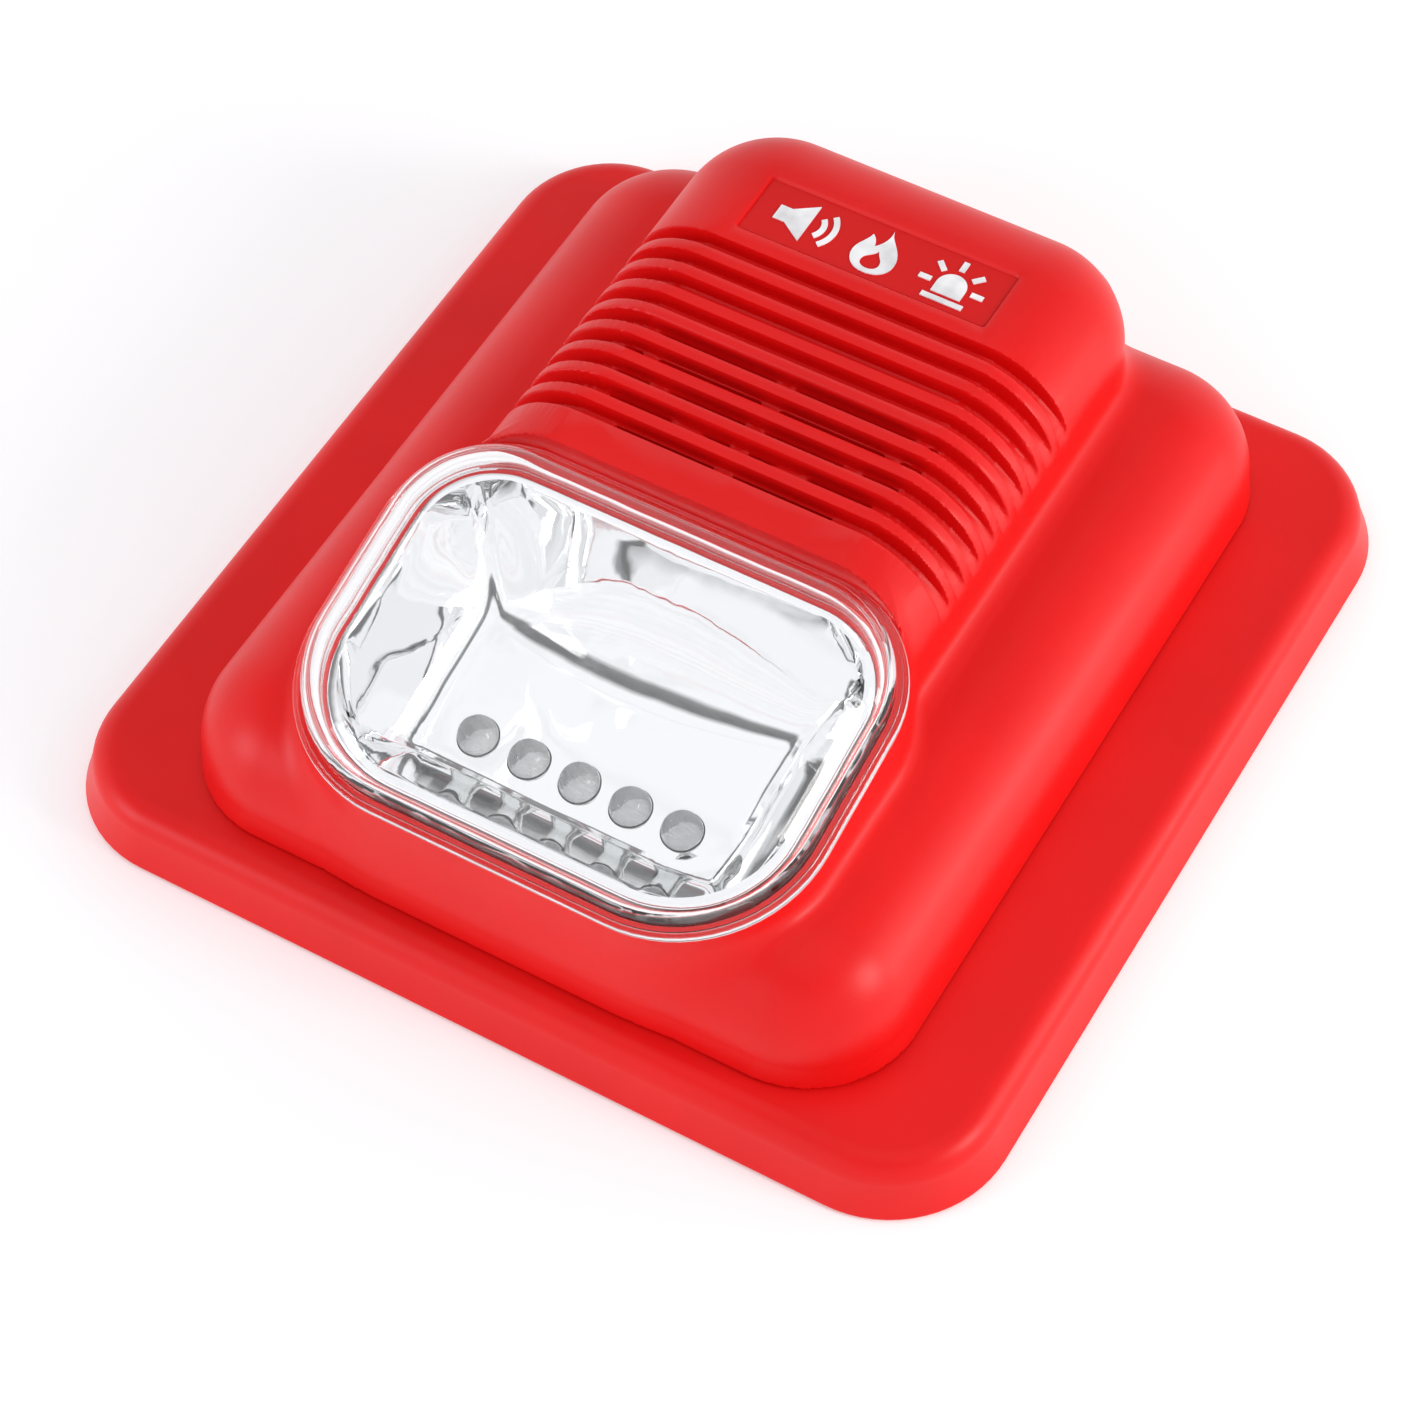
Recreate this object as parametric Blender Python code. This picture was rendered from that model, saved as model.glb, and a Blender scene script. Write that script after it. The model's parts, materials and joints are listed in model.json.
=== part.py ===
"""Horn strobe: a wall-mounted fire alarm sounder with a flashing lens.

The unit lies on its back. Z points away from the wall, Y towards the horn end.
The origin is the centre of the back plate's rear rim. A front unit, which holds
the horn, the strobe and the boards, pulls straight off the back plate.
"""

from math import cos, pi, radians, sin, sqrt

import bmesh
import bpy
from mathutils import Matrix, Vector

MM = 0.001
GAP = 0.3 * MM

# Back plate
PLATE_HALF = (62.1 * MM, 62.5 * MM)
PLATE_CORNER = 15.2 * MM
PLATE_HEIGHT = 8.0 * MM
PLATE_EDGE = 3.4 * MM
PLATE_DRAFT = 1.4 * MM
PLATE_SKIN = 2.4 * MM
RIM_WIDTH = 3.2 * MM
CABLE_ENTRY = (12.0 * MM, 9.0 * MM)
CABLE_ENTRY_Y = 6.0 * MM
CABLE_CORNER = 3.0 * MM
SCREW_SLOT = (5.0 * MM, 2.3 * MM)
SCREW_SLOT_XY = (30.0 * MM, 41.0 * MM)
PEG_XY = (38.0 * MM, 45.0 * MM)
PEG_RADIUS = 2.0 * MM
PEG_HEIGHT = 8.0 * MM
SOCKET_RADIUS = 4.0 * MM
SOCKET_TOP = 19.3 * MM

# Front housing: a low wide tier and a tall narrow one along its middle
WALL = 2.2 * MM
TIER_HALF = (47.6 * MM, 56.1 * MM)
TIER_CORNER = 14.0 * MM
TIER_TOP = 23.8 * MM
TIER_SHOULDER = 12.0 * MM
TIER_DRAFT = 0.4 * MM
HUMP_HALF = 30.8 * MM
HUMP_REAR = 53.9 * MM
HUMP_FRONT = -52.0 * MM
HUMP_CORNER = 14.0 * MM
HUMP_TOP = 40.5 * MM
HUMP_SHOULDER = 12.0 * MM
HUMP_DRAFT = 0.8 * MM
CROWN = 3.3 * MM
LABEL_HALF = (17.0 * MM, 4.65 * MM)
LABEL_Y = 35.1 * MM
LABEL_DEPTH = 0.5 * MM

# Horn grille: grooves across the tall tier, with slots through the lowest five
GROOVES = 9
GROOVE_PITCH = 3.72 * MM
GROOVE_WIDTH = 2.1 * MM
GROOVE_DEPTH = 2.2 * MM
GROOVE_TIP_Z = 29.0 * MM
GROOVE_BOW = 1.6  # exponent of the floor's curve, which would be 2 for an ellipse
SLOT_ROWS = range(4, 9)
SLOT_WIDTH = 1.5 * MM
HORN_Y = 12.1 * MM
HORN_RADIUS = 20.4 * MM
BRIDGE = 1.2 * MM
ARCH_Y = HORN_Y + 7.7 * MM
ARCH_RADII = (18.8 * MM, 20.4 * MM)

# Lens seat: a sloping pad at the front of the housing
SEAT_TILT = radians(13.0)
SEAT_CENTRE = Vector((0, -32.1 * MM, 30.5 * MM))
LENS_HALF = (34.0 * MM, 24.4 * MM)
LENS_CORNERS = (18.5 * MM, 14.8 * MM)
FLANGE = 1.2 * MM
FLANGE_WIDTH = 0.7 * MM
DOME_HEIGHT = 7.0 * MM
DOME_EDGE = 6.2 * MM
DOME_DRAFT = 0.5 * MM
LENS_WALL = 2.0 * MM
WINDOW_INSET = 3.4 * MM
WINDOW_REACH = (24.0 * MM, 9.0 * MM)
PAD_INSET = 0.4 * MM

# Reflector bowl and lamps, measured in the seat's own sloping frame
BOWL_RIM = 1.0 * MM
BOWL_DEPTH = 12.0 * MM
BOWL_WALL = 0.9 * MM
BOWL_CURVE = 1.4  # how the walls' height grows with distance from the floor
BOWL_FLOOR_HALF = 20.0 * MM
BOWL_FLOOR_Y = (-11.2 * MM, 3.0 * MM)
BOWL_FLOOR_CORNER = 3.5 * MM
LAMPS = 5
LAMP_PITCH = 6.9 * MM
LAMP_Y = -7.0 * MM
LAMP_RADIUS = 2.5 * MM
LAMP_TIP = -9.4 * MM
LAMP_LENGTH = 8.6 * MM

# Boards, horn driver and terminals
BOARD_THICK = 1.6 * MM
MAIN_BOARD_HALF = (27.4 * MM, 26.5 * MM)
MAIN_BOARD_CENTRE = Vector((0, 23.5 * MM, 22.0 * MM))
BOSS_RADIUS = 2.9 * MM
BOSS_TOP = 33.5 * MM
PILOT_RADIUS = 1.4 * MM
BOARD_SCREW_XY = ((25.0 * MM, 0.5 * MM), (22.5 * MM, 46.5 * MM))
SCREW_SHANK = 1.1 * MM
SCREW_HEAD = 2.3 * MM
STROBE_BOARD = (20.0 * MM, 4.5 * MM, 1.2 * MM)
PORT_RADIUS = 5.0 * MM
CAPACITOR_XY = (-15.0 * MM, 26.0 * MM)
CAPACITOR_RADIUS = 4.0 * MM
CAPACITOR_LENGTH = 11.0 * MM
COIL_XY = (15.0 * MM, 25.0 * MM)
COIL_RADIUS = 5.0 * MM
COIL_LENGTH = 9.0 * MM
TRANSISTOR = (5.0 * MM, 2.2 * MM, 8.0 * MM)
TRANSISTOR_XY = (15.0 * MM, 10.0 * MM)
CHIP = (4.5 * MM, 3.0 * MM, 2.2 * MM)
CHIP_XY = (-14.0 * MM, 10.0 * MM)
CUP_RADIUS = 20.5 * MM
CUP_WALL = 1.5 * MM
CUP_THROAT = 17.0 * MM
RING_INNER = 16.5 * MM
CUP_TOP = 32.6 * MM
CUP_BASE = 27.0 * MM
DISC_RADIUS = 18.4 * MM
DISC_Z = 29.2 * MM
DISC_THICK = 0.4 * MM
MESH_THICK = 0.4 * MM
HORN_STEPS = 32
TERMINAL_Y = 42.0 * MM
TERMINAL_HALF = (8.0 * MM, 6.0 * MM)
TERMINAL_HEIGHT = 10.0 * MM
POLE_X = 4.2 * MM
PIN_X = 15.0 * MM
PIN_RADIUS = 0.9 * MM
WELL_RADIUS = 2.6 * MM
WIRE_ENTRY = (2.0 * MM, 1.2 * MM, 4.0 * MM)
CLIP_HEIGHT = 8.0 * MM
CLIP_HALF = 2.0 * MM
CLIP_LEAF = 0.6 * MM

CORNER_STEPS = 6
ROUND_STEPS = 24
SMALL_STEPS = 16
SCREW_STEPS = 12
FAR = 90.0 * MM  # further than any part reaches


def clear_scene():
    for obj in list(bpy.data.objects):
        bpy.data.objects.remove(obj, do_unlink=True)


def material(name, colour, roughness, metallic=0.0, alpha=1.0):
    made = bpy.data.materials.new(name)
    made.use_nodes = True
    shader = made.node_tree.nodes["Principled BSDF"]
    shader.inputs["Base Color"].default_value = (*colour, 1.0)
    shader.inputs["Roughness"].default_value = roughness
    shader.inputs["Metallic"].default_value = metallic
    shader.inputs["Alpha"].default_value = alpha
    made.diffuse_color = (*colour, alpha)
    return made


def new_object(name, mesh_builder, made=None, parent=None):
    """An object from a bmesh, with its faces turned outward."""
    bmesh.ops.recalc_face_normals(mesh_builder, faces=mesh_builder.faces)
    mesh = bpy.data.meshes.new(name)
    mesh_builder.to_mesh(mesh)
    mesh_builder.free()
    obj = bpy.data.objects.new(name, mesh)
    bpy.context.scene.collection.objects.link(obj)
    if made:
        mesh.materials.append(made)
    obj.parent = parent
    return obj


def smooth(obj):
    obj.data.shade_smooth()
    obj.data.set_sharp_from_angle(angle=radians(35))
    return obj


def helper(obj):
    """A cutter or an added lump: it shapes another object and isn't a part."""
    obj.hide_render = True
    obj.display_type = "WIRE"
    return obj


def boolean(obj, other, operation="DIFFERENCE"):
    modifier = obj.modifiers.new(other.name, "BOOLEAN")
    modifier.operation = operation
    modifier.solver = "EXACT"
    modifier.object = helper(other)
    return obj


def outline(half_x, front, rear, front_corner, rear_corner):
    """A rectangle with round corners, from its front right corner, counterclockwise."""
    corners = (
        (half_x - front_corner, front + front_corner, front_corner, -pi / 2),
        (half_x - rear_corner, rear - rear_corner, rear_corner, 0.0),
        (-half_x + rear_corner, rear - rear_corner, rear_corner, pi / 2),
        (-half_x + front_corner, front + front_corner, front_corner, pi),
    )
    points = []
    for x, y, radius, start in corners:
        for step in range(CORNER_STEPS + 1):
            angle = start + pi / 2 * step / CORNER_STEPS
            points.append((x + radius * cos(angle), y + radius * sin(angle)))
    return points


def inset(half_x, front, rear, front_corner, rear_corner, by):
    least = 0.2 * MM
    return outline(
        half_x - by,
        front + by,
        rear - by,
        max(front_corner - by, least),
        max(rear_corner - by, least),
    )


def loft(rings):
    """A closed skin through rings of (outline, height), with both ends capped."""
    made = bmesh.new()
    rows = [[made.verts.new((x, y, z)) for x, y in points] for points, z in rings]
    for low, high in zip(rows, rows[1:]):
        for i in range(len(low)):
            j = (i + 1) % len(low)
            made.faces.new((low[i], low[j], high[j], high[i]))
    made.faces.new(rows[0])
    made.faces.new(rows[-1])
    return made


def box(half_x, half_y, low, high, centre=(0.0, 0.0)):
    x, y = centre
    signs = ((-1, -1), (1, -1), (1, 1), (-1, 1))
    corners = [(x + i * half_x, y + j * half_y) for i, j in signs]
    return loft([(corners, low), (corners, high)])


def turned(profile, centre=(0.0, 0.0), steps=ROUND_STEPS):
    """A solid of revolution from (radius, height) points, which go round its section."""
    made = bmesh.new()
    x, y = centre
    on_axis = {i: made.verts.new((x, y, z)) for i, (radius, z) in enumerate(profile) if radius == 0}
    rows = []
    for step in range(steps):
        angle = 2 * pi * step / steps
        row = []
        for i, (radius, z) in enumerate(profile):
            spot = (x + radius * cos(angle), y + radius * sin(angle), z)
            row.append(on_axis.get(i) or made.verts.new(spot))
        rows.append(row)
    for here, there in zip(rows, rows[1:] + rows[:1]):
        for i in range(len(profile)):
            j = (i + 1) % len(profile)
            corners = list(dict.fromkeys((here[i], here[j], there[j], there[i])))
            if len(corners) > 2:
                made.faces.new(corners)
    return made


def prism(section, near, far):
    """A closed (x, z) section drawn out along Y."""
    made = bmesh.new()
    front = [made.verts.new((x, near, z)) for x, z in section]
    back = [made.verts.new((x, far, z)) for x, z in section]
    made.faces.new(front)
    made.faces.new(back)
    for i in range(len(section)):
        j = (i + 1) % len(section)
        made.faces.new((front[i], front[j], back[j], back[i]))
    return made


def cylinder(radius, low, high, centre=(0.0, 0.0), steps=ROUND_STEPS):
    return turned([(0, low), (radius, low), (radius, high), (0, high)], centre, steps)


def combined(builders):
    """Several separate closed shapes in one bmesh, for use as one cutter."""
    whole = bmesh.new()
    for part in builders:
        mesh = bpy.data.meshes.new("piece")
        bmesh.ops.recalc_face_normals(part, faces=part.faces)
        part.to_mesh(mesh)
        part.free()
        whole.from_mesh(mesh)
        bpy.data.meshes.remove(mesh)
    return whole


def tube(name, route, radius, made, parent=None):
    """A wire along a smooth curve through the route's points."""
    curve = bpy.data.curves.new(name, "CURVE")
    curve.dimensions = "3D"
    curve.bevel_depth = radius
    curve.bevel_resolution = 2
    curve.use_fill_caps = True
    points = smooth_route([Vector(point) for point in route])
    spline = curve.splines.new("POLY")
    spline.points.add(len(points) - 1)
    for spot, point in zip(spline.points, points):
        spot.co = (*point, 1.0)
    curve.materials.append(made)
    obj = bpy.data.objects.new(name, curve)
    bpy.context.scene.collection.objects.link(obj)
    obj.parent = parent
    return obj


def smooth_route(route, per_leg=5):
    """Catmull-Rom points through the route."""
    ends = [2 * route[0] - route[1], *route, 2 * route[-1] - route[-2]]
    points = []
    for a, b, c, d in zip(ends, ends[1:], ends[2:], ends[3:]):
        for step in range(per_leg):
            t = step / per_leg
            bend = (2 * a - 5 * b + 4 * c - d) * t**2
            twist = (3 * b - a - 3 * c + d) * t**3
            points.append(0.5 * (2 * b + (c - a) * t + bend + twist))
    return [*points, route[-1]]


# --- shapes of the housing, as rings -------------------------------------------


def shoulder_rings(plan, low, top, shoulder, draft, shrink=0.0, steps=6):
    """A round-shouldered block: plan is outline()'s five values, shrink makes it a cavity."""
    rings = [(inset(*plan, shrink), low)]
    start = top - shoulder
    for step in range(steps + 1):
        angle = pi / 2 * step / steps
        by = draft + (shoulder - shrink) * (1 - cos(angle)) + shrink
        rings.append((inset(*plan, by), start + (shoulder - shrink) * sin(angle)))
    return rings


def tier_rings(low, shrink=0.0):
    plan = (TIER_HALF[0], -TIER_HALF[1], TIER_HALF[1], TIER_CORNER, TIER_CORNER)
    return shoulder_rings(plan, low, TIER_TOP, TIER_SHOULDER, TIER_DRAFT, shrink)


def hump_rings(low, shrink=0.0):
    plan = (HUMP_HALF, HUMP_FRONT, HUMP_REAR, HUMP_CORNER, HUMP_CORNER)
    top = HUMP_TOP - (CROWN - WALL if shrink else 0.0)
    return shoulder_rings(plan, low, top, HUMP_SHOULDER, HUMP_DRAFT, shrink)


def lens_outline(by=0.0):
    return inset(LENS_HALF[0], -LENS_HALF[1], LENS_HALF[1], *LENS_CORNERS, by)


def groove_floor():
    """The grooves' floor across the hump, from tip to tip, as (x, z)."""
    flat = HUMP_HALF - HUMP_DRAFT - HUMP_SHOULDER
    reach = HUMP_SHOULDER
    drop = HUMP_TOP - GROOVE_DEPTH - GROOVE_TIP_Z
    bow = 2 / GROOVE_BOW
    steps = 7
    right = []
    for step in range(steps + 1):
        angle = pi / 2 * step / steps
        along, up = max(cos(angle), 0.0), sin(angle)
        right.append((flat + reach * along**bow, GROOVE_TIP_Z + drop * up**bow))
    return right + [(-x, z) for x, z in reversed(right)]


def groove_cutter():
    """One groove's cutter for each row: all that lies above the groove's floor."""
    side, top = HUMP_HALF + 4 * MM, HUMP_TOP + 4 * MM
    section = groove_floor() + [(-side, GROOVE_TIP_Z), (-side, top), (side, top), (side, GROOVE_TIP_Z)]
    half = GROOVE_WIDTH / 2
    middles = [groove_y(row) for row in range(GROOVES)]
    return combined([prism(section, middle - half, middle + half) for middle in middles])


def groove_y(row):
    return HORN_Y + GROOVE_PITCH * (GROOVES // 2 - row)


def slot_spans(row):
    """The stretches of x > 0 that are open in this row."""
    outer = sqrt(HORN_RADIUS**2 - (groove_y(row) - HORN_Y) ** 2)
    drop = groove_y(row) - ARCH_Y
    inside, outside = (radius**2 - drop**2 for radius in ARCH_RADII)
    if outside <= 0:
        return [(BRIDGE, outer)]
    spans = [(sqrt(outside), outer)]
    if inside > 0:
        spans.append((BRIDGE, sqrt(inside)))
    return [(low, high) for low, high in spans if high - low > SLOT_WIDTH]


def slot_cutter():
    slots = []
    for row in SLOT_ROWS:
        for low, high in slot_spans(row):
            for side in (-1, 1):
                centre = (side * (low + high) / 2, groove_y(row))
                half = (high - low) / 2
                slots.append(box(half, SLOT_WIDTH / 2, HUMP_TOP - 2 * CROWN, HUMP_TOP, centre))
    return combined(slots)


# --- parts -----------------------------------------------------------------------


def make_base_plate(red):
    plan = (PLATE_HALF[0], -PLATE_HALF[1], PLATE_HALF[1], PLATE_CORNER, PLATE_CORNER)
    under = PLATE_HEIGHT - PLATE_SKIN
    rings = [(inset(*plan, RIM_WIDTH + PLATE_DRAFT), under), (inset(*plan, RIM_WIDTH), 0.0)]
    rings += [(inset(*plan, 0.0), 0.0), (inset(*plan, PLATE_DRAFT), PLATE_HEIGHT - PLATE_EDGE)]
    steps = 4
    for step in range(1, steps + 1):
        angle = pi / 2 * step / steps
        by = PLATE_DRAFT + PLATE_EDGE * (1 - cos(angle))
        rings.append((inset(*plan, by), PLATE_HEIGHT - PLATE_EDGE * (1 - sin(angle))))
    plate = new_object("base_plate", loft(rings), red)
    buried = PLATE_HEIGHT - PLATE_SKIN / 2
    peg_top = PLATE_HEIGHT + PEG_HEIGHT
    pegs = [cylinder(PEG_RADIUS, buried, peg_top, spot, SMALL_STEPS) for spot in four_spots(PEG_XY)]
    boolean(plate, new_object("pegs", combined(pegs)), "UNION")
    half_x, half_y = CABLE_ENTRY
    entry = outline(half_x, CABLE_ENTRY_Y - half_y, CABLE_ENTRY_Y + half_y, CABLE_CORNER, CABLE_CORNER)
    boolean(plate, new_object("cable_entry", loft([(entry, -MM), (entry, PLATE_HEIGHT + MM)])))
    slots = [screw_slot(x, y) for x, y in four_spots(SCREW_SLOT_XY)]
    boolean(plate, new_object("screw_slots", combined(slots)))
    return plate


def four_spots(half):
    """The corners of a rectangle round the origin."""
    x, y = half
    return [(i * x, j * y) for i in (-1, 1) for j in (-1, 1)]


def screw_slot(x, y):
    half, radius = SCREW_SLOT
    corner = 0.99 * radius
    points = [(x + px, y + py) for px, py in outline(half, -radius, radius, corner, corner)]
    return loft([(points, -MM), (points, PLATE_HEIGHT + MM)])


def make_housing(red, seat):
    low = PLATE_HEIGHT + GAP
    housing = new_object("front_housing", loft(tier_rings(low)), red)
    boolean(housing, new_object("tall_tier", loft(hump_rings(low + WALL))), "UNION")
    pad_plan = lens_outline(PAD_INSET)
    pad = new_object("lens_pad", loft([(pad_plan, -HUMP_TOP), (pad_plan, 0.0)]))
    pad.matrix_world = seat_foot()
    boolean(housing, pad, "UNION")
    boolean(housing, new_object("below_plate", box(FAR, FAR, -FAR, low)))
    step_plan = lens_outline(-GAP)
    above = new_object("lens_step", loft([(step_plan, 0.0), (step_plan, HUMP_TOP)]), parent=seat)
    boolean(housing, above)
    boolean(housing, new_object("tier_cavity", loft(tier_rings(low - MM, WALL))))
    backing_plan = lens_outline(-GAP - WALL)
    backing = loft([(backing_plan, -WALL), (backing_plan, HUMP_TOP)])
    hollow = new_object("hump_cavity", loft(hump_rings(low - MM, WALL)))
    boolean(hollow, new_object("seat_backing", backing, parent=seat))
    boolean(housing, hollow)
    add_bosses(housing)
    add_sockets(housing, low)
    hole_plan = lens_outline(WINDOW_INSET)
    hole = loft([(hole_plan, -WINDOW_REACH[0]), (hole_plan, WINDOW_REACH[1])])
    boolean(housing, new_object("window", hole, parent=seat))
    boolean(housing, new_object("grooves", groove_cutter()))
    boolean(housing, new_object("slots", slot_cutter()))
    label = box(*LABEL_HALF, HUMP_TOP - LABEL_DEPTH, HUMP_TOP + MM, (0.0, LABEL_Y))
    boolean(housing, new_object("label_recess", label))
    return housing


def add_bosses(housing):
    """Screw bosses that hang from the tall tier's roof and hold the main board."""
    foot = MAIN_BOARD_CENTRE.z + BOARD_THICK + GAP
    spots = boss_spots()
    bosses = [cylinder(BOSS_RADIUS, foot, BOSS_TOP, spot, SMALL_STEPS) for spot in spots]
    boolean(housing, new_object("board_bosses", combined(bosses)), "UNION")
    pilots = [cylinder(PILOT_RADIUS, foot - MM, BOSS_TOP - MM, spot, SCREW_STEPS) for spot in spots]
    boolean(housing, new_object("board_pilots", combined(pilots)))


def add_sockets(housing, low):
    """Sockets in the low tier's corners, which slip over the plate's pegs."""
    foot = low + 0.7 * MM
    spots = four_spots(PEG_XY)
    sockets = [cylinder(SOCKET_RADIUS, foot, SOCKET_TOP, spot, SMALL_STEPS) for spot in spots]
    boolean(housing, new_object("peg_sockets", combined(sockets)), "UNION")
    bore, top = PEG_RADIUS + GAP, PLATE_HEIGHT + PEG_HEIGHT + MM
    bores = [cylinder(bore, low - MM, top, spot, SMALL_STEPS) for spot in spots]
    boolean(housing, new_object("peg_bores", combined(bores)))


def boss_spots():
    return [(side * x, y) for x, y in BOARD_SCREW_XY for side in (-1, 1)]


def seat_foot():
    """The pad's own frame: its top slopes with the seat and its sides stand upright."""
    return Matrix.Translation(SEAT_CENTRE) @ Matrix(
        ((1, 0, 0, 0), (0, cos(SEAT_TILT), 0, 0), (0, sin(SEAT_TILT), 1, 0), (0, 0, 0, 1))
    )


def make_lens(clear, seat):
    low = GAP
    flange_top = low + FLANGE
    dome_top = flange_top + DOME_HEIGHT
    steps = 5
    inner = []
    outer = []
    for step in range(steps + 1):
        angle = pi / 2 * step / steps
        turn, rise = 1 - cos(angle), sin(angle)
        by = FLANGE_WIDTH + DOME_DRAFT + DOME_EDGE * turn
        outer.append((lens_outline(by), dome_top - DOME_EDGE * (1 - rise)))
        edge = DOME_EDGE - LENS_WALL
        by = FLANGE_WIDTH + DOME_DRAFT + LENS_WALL + edge * turn
        inner.append((lens_outline(by), dome_top - LENS_WALL - edge * (1 - rise)))
    rings = inner[::-1] + [(lens_outline(FLANGE_WIDTH + LENS_WALL), low)]
    rings += [(lens_outline(0.0), low), (lens_outline(0.0), flange_top)]
    rings.append((lens_outline(FLANGE_WIDTH), flange_top))
    return smooth(new_object("strobe_lens", loft(rings + outer), clear, seat))


def bowl_ring(t, thickness):
    """One ring of the reflector's bowl at t from rim, 0, to floor, 1."""
    shrink = 1 - cos(pi / 2 * t)
    rim = WINDOW_INSET + 2 * BOWL_RIM - thickness
    half_x = LENS_HALF[0] - rim
    front, rear = -LENS_HALF[1] + rim, LENS_HALF[1] - rim
    floor_half = BOWL_FLOOR_HALF + thickness
    floor_front, floor_rear = BOWL_FLOOR_Y[0] - thickness, BOWL_FLOOR_Y[1] + thickness
    corners = [corner - rim + (BOWL_FLOOR_CORNER - corner + rim) * t for corner in LENS_CORNERS]
    plan = (
        half_x + (floor_half - half_x) * shrink,
        front + (floor_front - front) * shrink,
        rear + (floor_rear - rear) * shrink,
        *corners,
    )
    return outline(*plan), -(BOWL_DEPTH + thickness) * (1 - (1 - shrink) ** BOWL_CURVE)


def make_reflector(chrome, seat):
    steps = 8
    outside = [bowl_ring(step / steps, BOWL_WALL) for step in range(steps, -1, -1)]
    inside = [bowl_ring(step / steps, 0.0) for step in range(steps + 1)]
    collar = WINDOW_INSET + GAP
    rim = [(lens_outline(collar), 0.0), (lens_outline(collar), BOWL_RIM)]
    mouth = bowl_ring(0, 0.0)[0]
    reflector = new_object("reflector", loft(outside + rim + [(mouth, BOWL_RIM)] + inside), chrome, seat)
    radius, reach = LAMP_RADIUS + GAP, LAMP_TIP - LAMP_LENGTH
    holes = [cylinder(radius, reach, -BOWL_DEPTH / 4, (x, LAMP_Y), SMALL_STEPS) for x in lamp_xs()]
    cutter = new_object("lamp_holes", combined(holes), parent=seat)
    return boolean(reflector, cutter)


def lamp_xs():
    return [(i - (LAMPS - 1) / 2) * LAMP_PITCH for i in range(LAMPS)]


def make_lamps(clear, seat):
    base = LAMP_TIP - LAMP_LENGTH
    foot = LAMP_RADIUS + 0.4 * MM
    profile = [(0, base), (foot, base), (foot, base + MM), (LAMP_RADIUS, base + MM)]
    steps = 4
    for step in range(steps):
        angle = pi / 2 * step / steps
        profile.append((LAMP_RADIUS * cos(angle), LAMP_TIP - LAMP_RADIUS * (1 - sin(angle))))
    profile.append((0, LAMP_TIP))
    for number, x in enumerate(lamp_xs(), 1):
        lamp = smooth(new_object(f"led_{number}", turned(profile, steps=SMALL_STEPS), clear, seat))
        lamp.location = (x, LAMP_Y, 0)


def make_strobe_board(green, seat):
    top = LAMP_TIP - LAMP_LENGTH - GAP
    half_x, half_y, thick = STROBE_BOARD
    board = box(half_x, half_y, top - thick, top, (0, LAMP_Y))
    return new_object("strobe_board", board, green, seat)


def make_main_board(green):
    low = MAIN_BOARD_CENTRE.z
    x, y = MAIN_BOARD_HALF
    middle = MAIN_BOARD_CENTRE.y
    plan = outline(x, middle - y, middle + y, 1.5 * MM, 9 * MM)
    board = new_object("main_board", loft([(plan, low), (plan, low + BOARD_THICK)]), green)
    radius, top = SCREW_SHANK + 0.4 * MM, low + 2 * BOARD_THICK
    holes = [cylinder(radius, low - MM, top, spot, SCREW_STEPS) for spot in boss_spots()]
    return boolean(board, new_object("board_holes", combined(holes)))


def make_board_screws(steel):
    under = MAIN_BOARD_CENTRE.z - GAP
    crown = 0.83 * SCREW_HEAD
    profile = [(0, under - 1.6 * MM), (crown, under - 1.6 * MM), (SCREW_HEAD, under - 0.6 * MM)]
    profile += [(SCREW_HEAD, under), (SCREW_SHANK, under)]
    profile += [(SCREW_SHANK, under + 8 * MM), (0, under + 9 * MM)]
    for number, spot in enumerate(boss_spots(), 1):
        screw = smooth(new_object(f"board_screw_{number}", turned(profile, steps=SCREW_STEPS), steel))
        screw.location = (*spot, 0)


def make_board_parts(black, sleeve, copper):
    under = MAIN_BOARD_CENTRE.z - GAP
    end = under - CAPACITOR_LENGTH
    radius = CAPACITOR_RADIUS
    can = [(0, end), (0.9 * radius, end), (radius, end + 0.4 * MM), (radius, under), (0, under)]
    smooth(new_object("storage_capacitor", turned(can, CAPACITOR_XY, SMALL_STEPS), sleeve))
    end, flange, waist, cheek = under - COIL_LENGTH, COIL_RADIUS, 0.78 * COIL_RADIUS, 1.2 * MM
    coil = [(0, end), (flange, end), (flange, end + cheek), (waist, end + cheek)]
    coil += [(waist, under - cheek), (flange, under - cheek), (flange, under), (0, under)]
    smooth(new_object("boost_coil", turned(coil, COIL_XY, SMALL_STEPS), copper))
    half_x, half_y, tall = TRANSISTOR
    new_object("driver_transistor", box(half_x, half_y, under - tall, under, TRANSISTOR_XY), black)
    half_x, half_y, tall = CHIP
    new_object("control_chip", box(half_x, half_y, under - tall, under, CHIP_XY), black)


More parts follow.
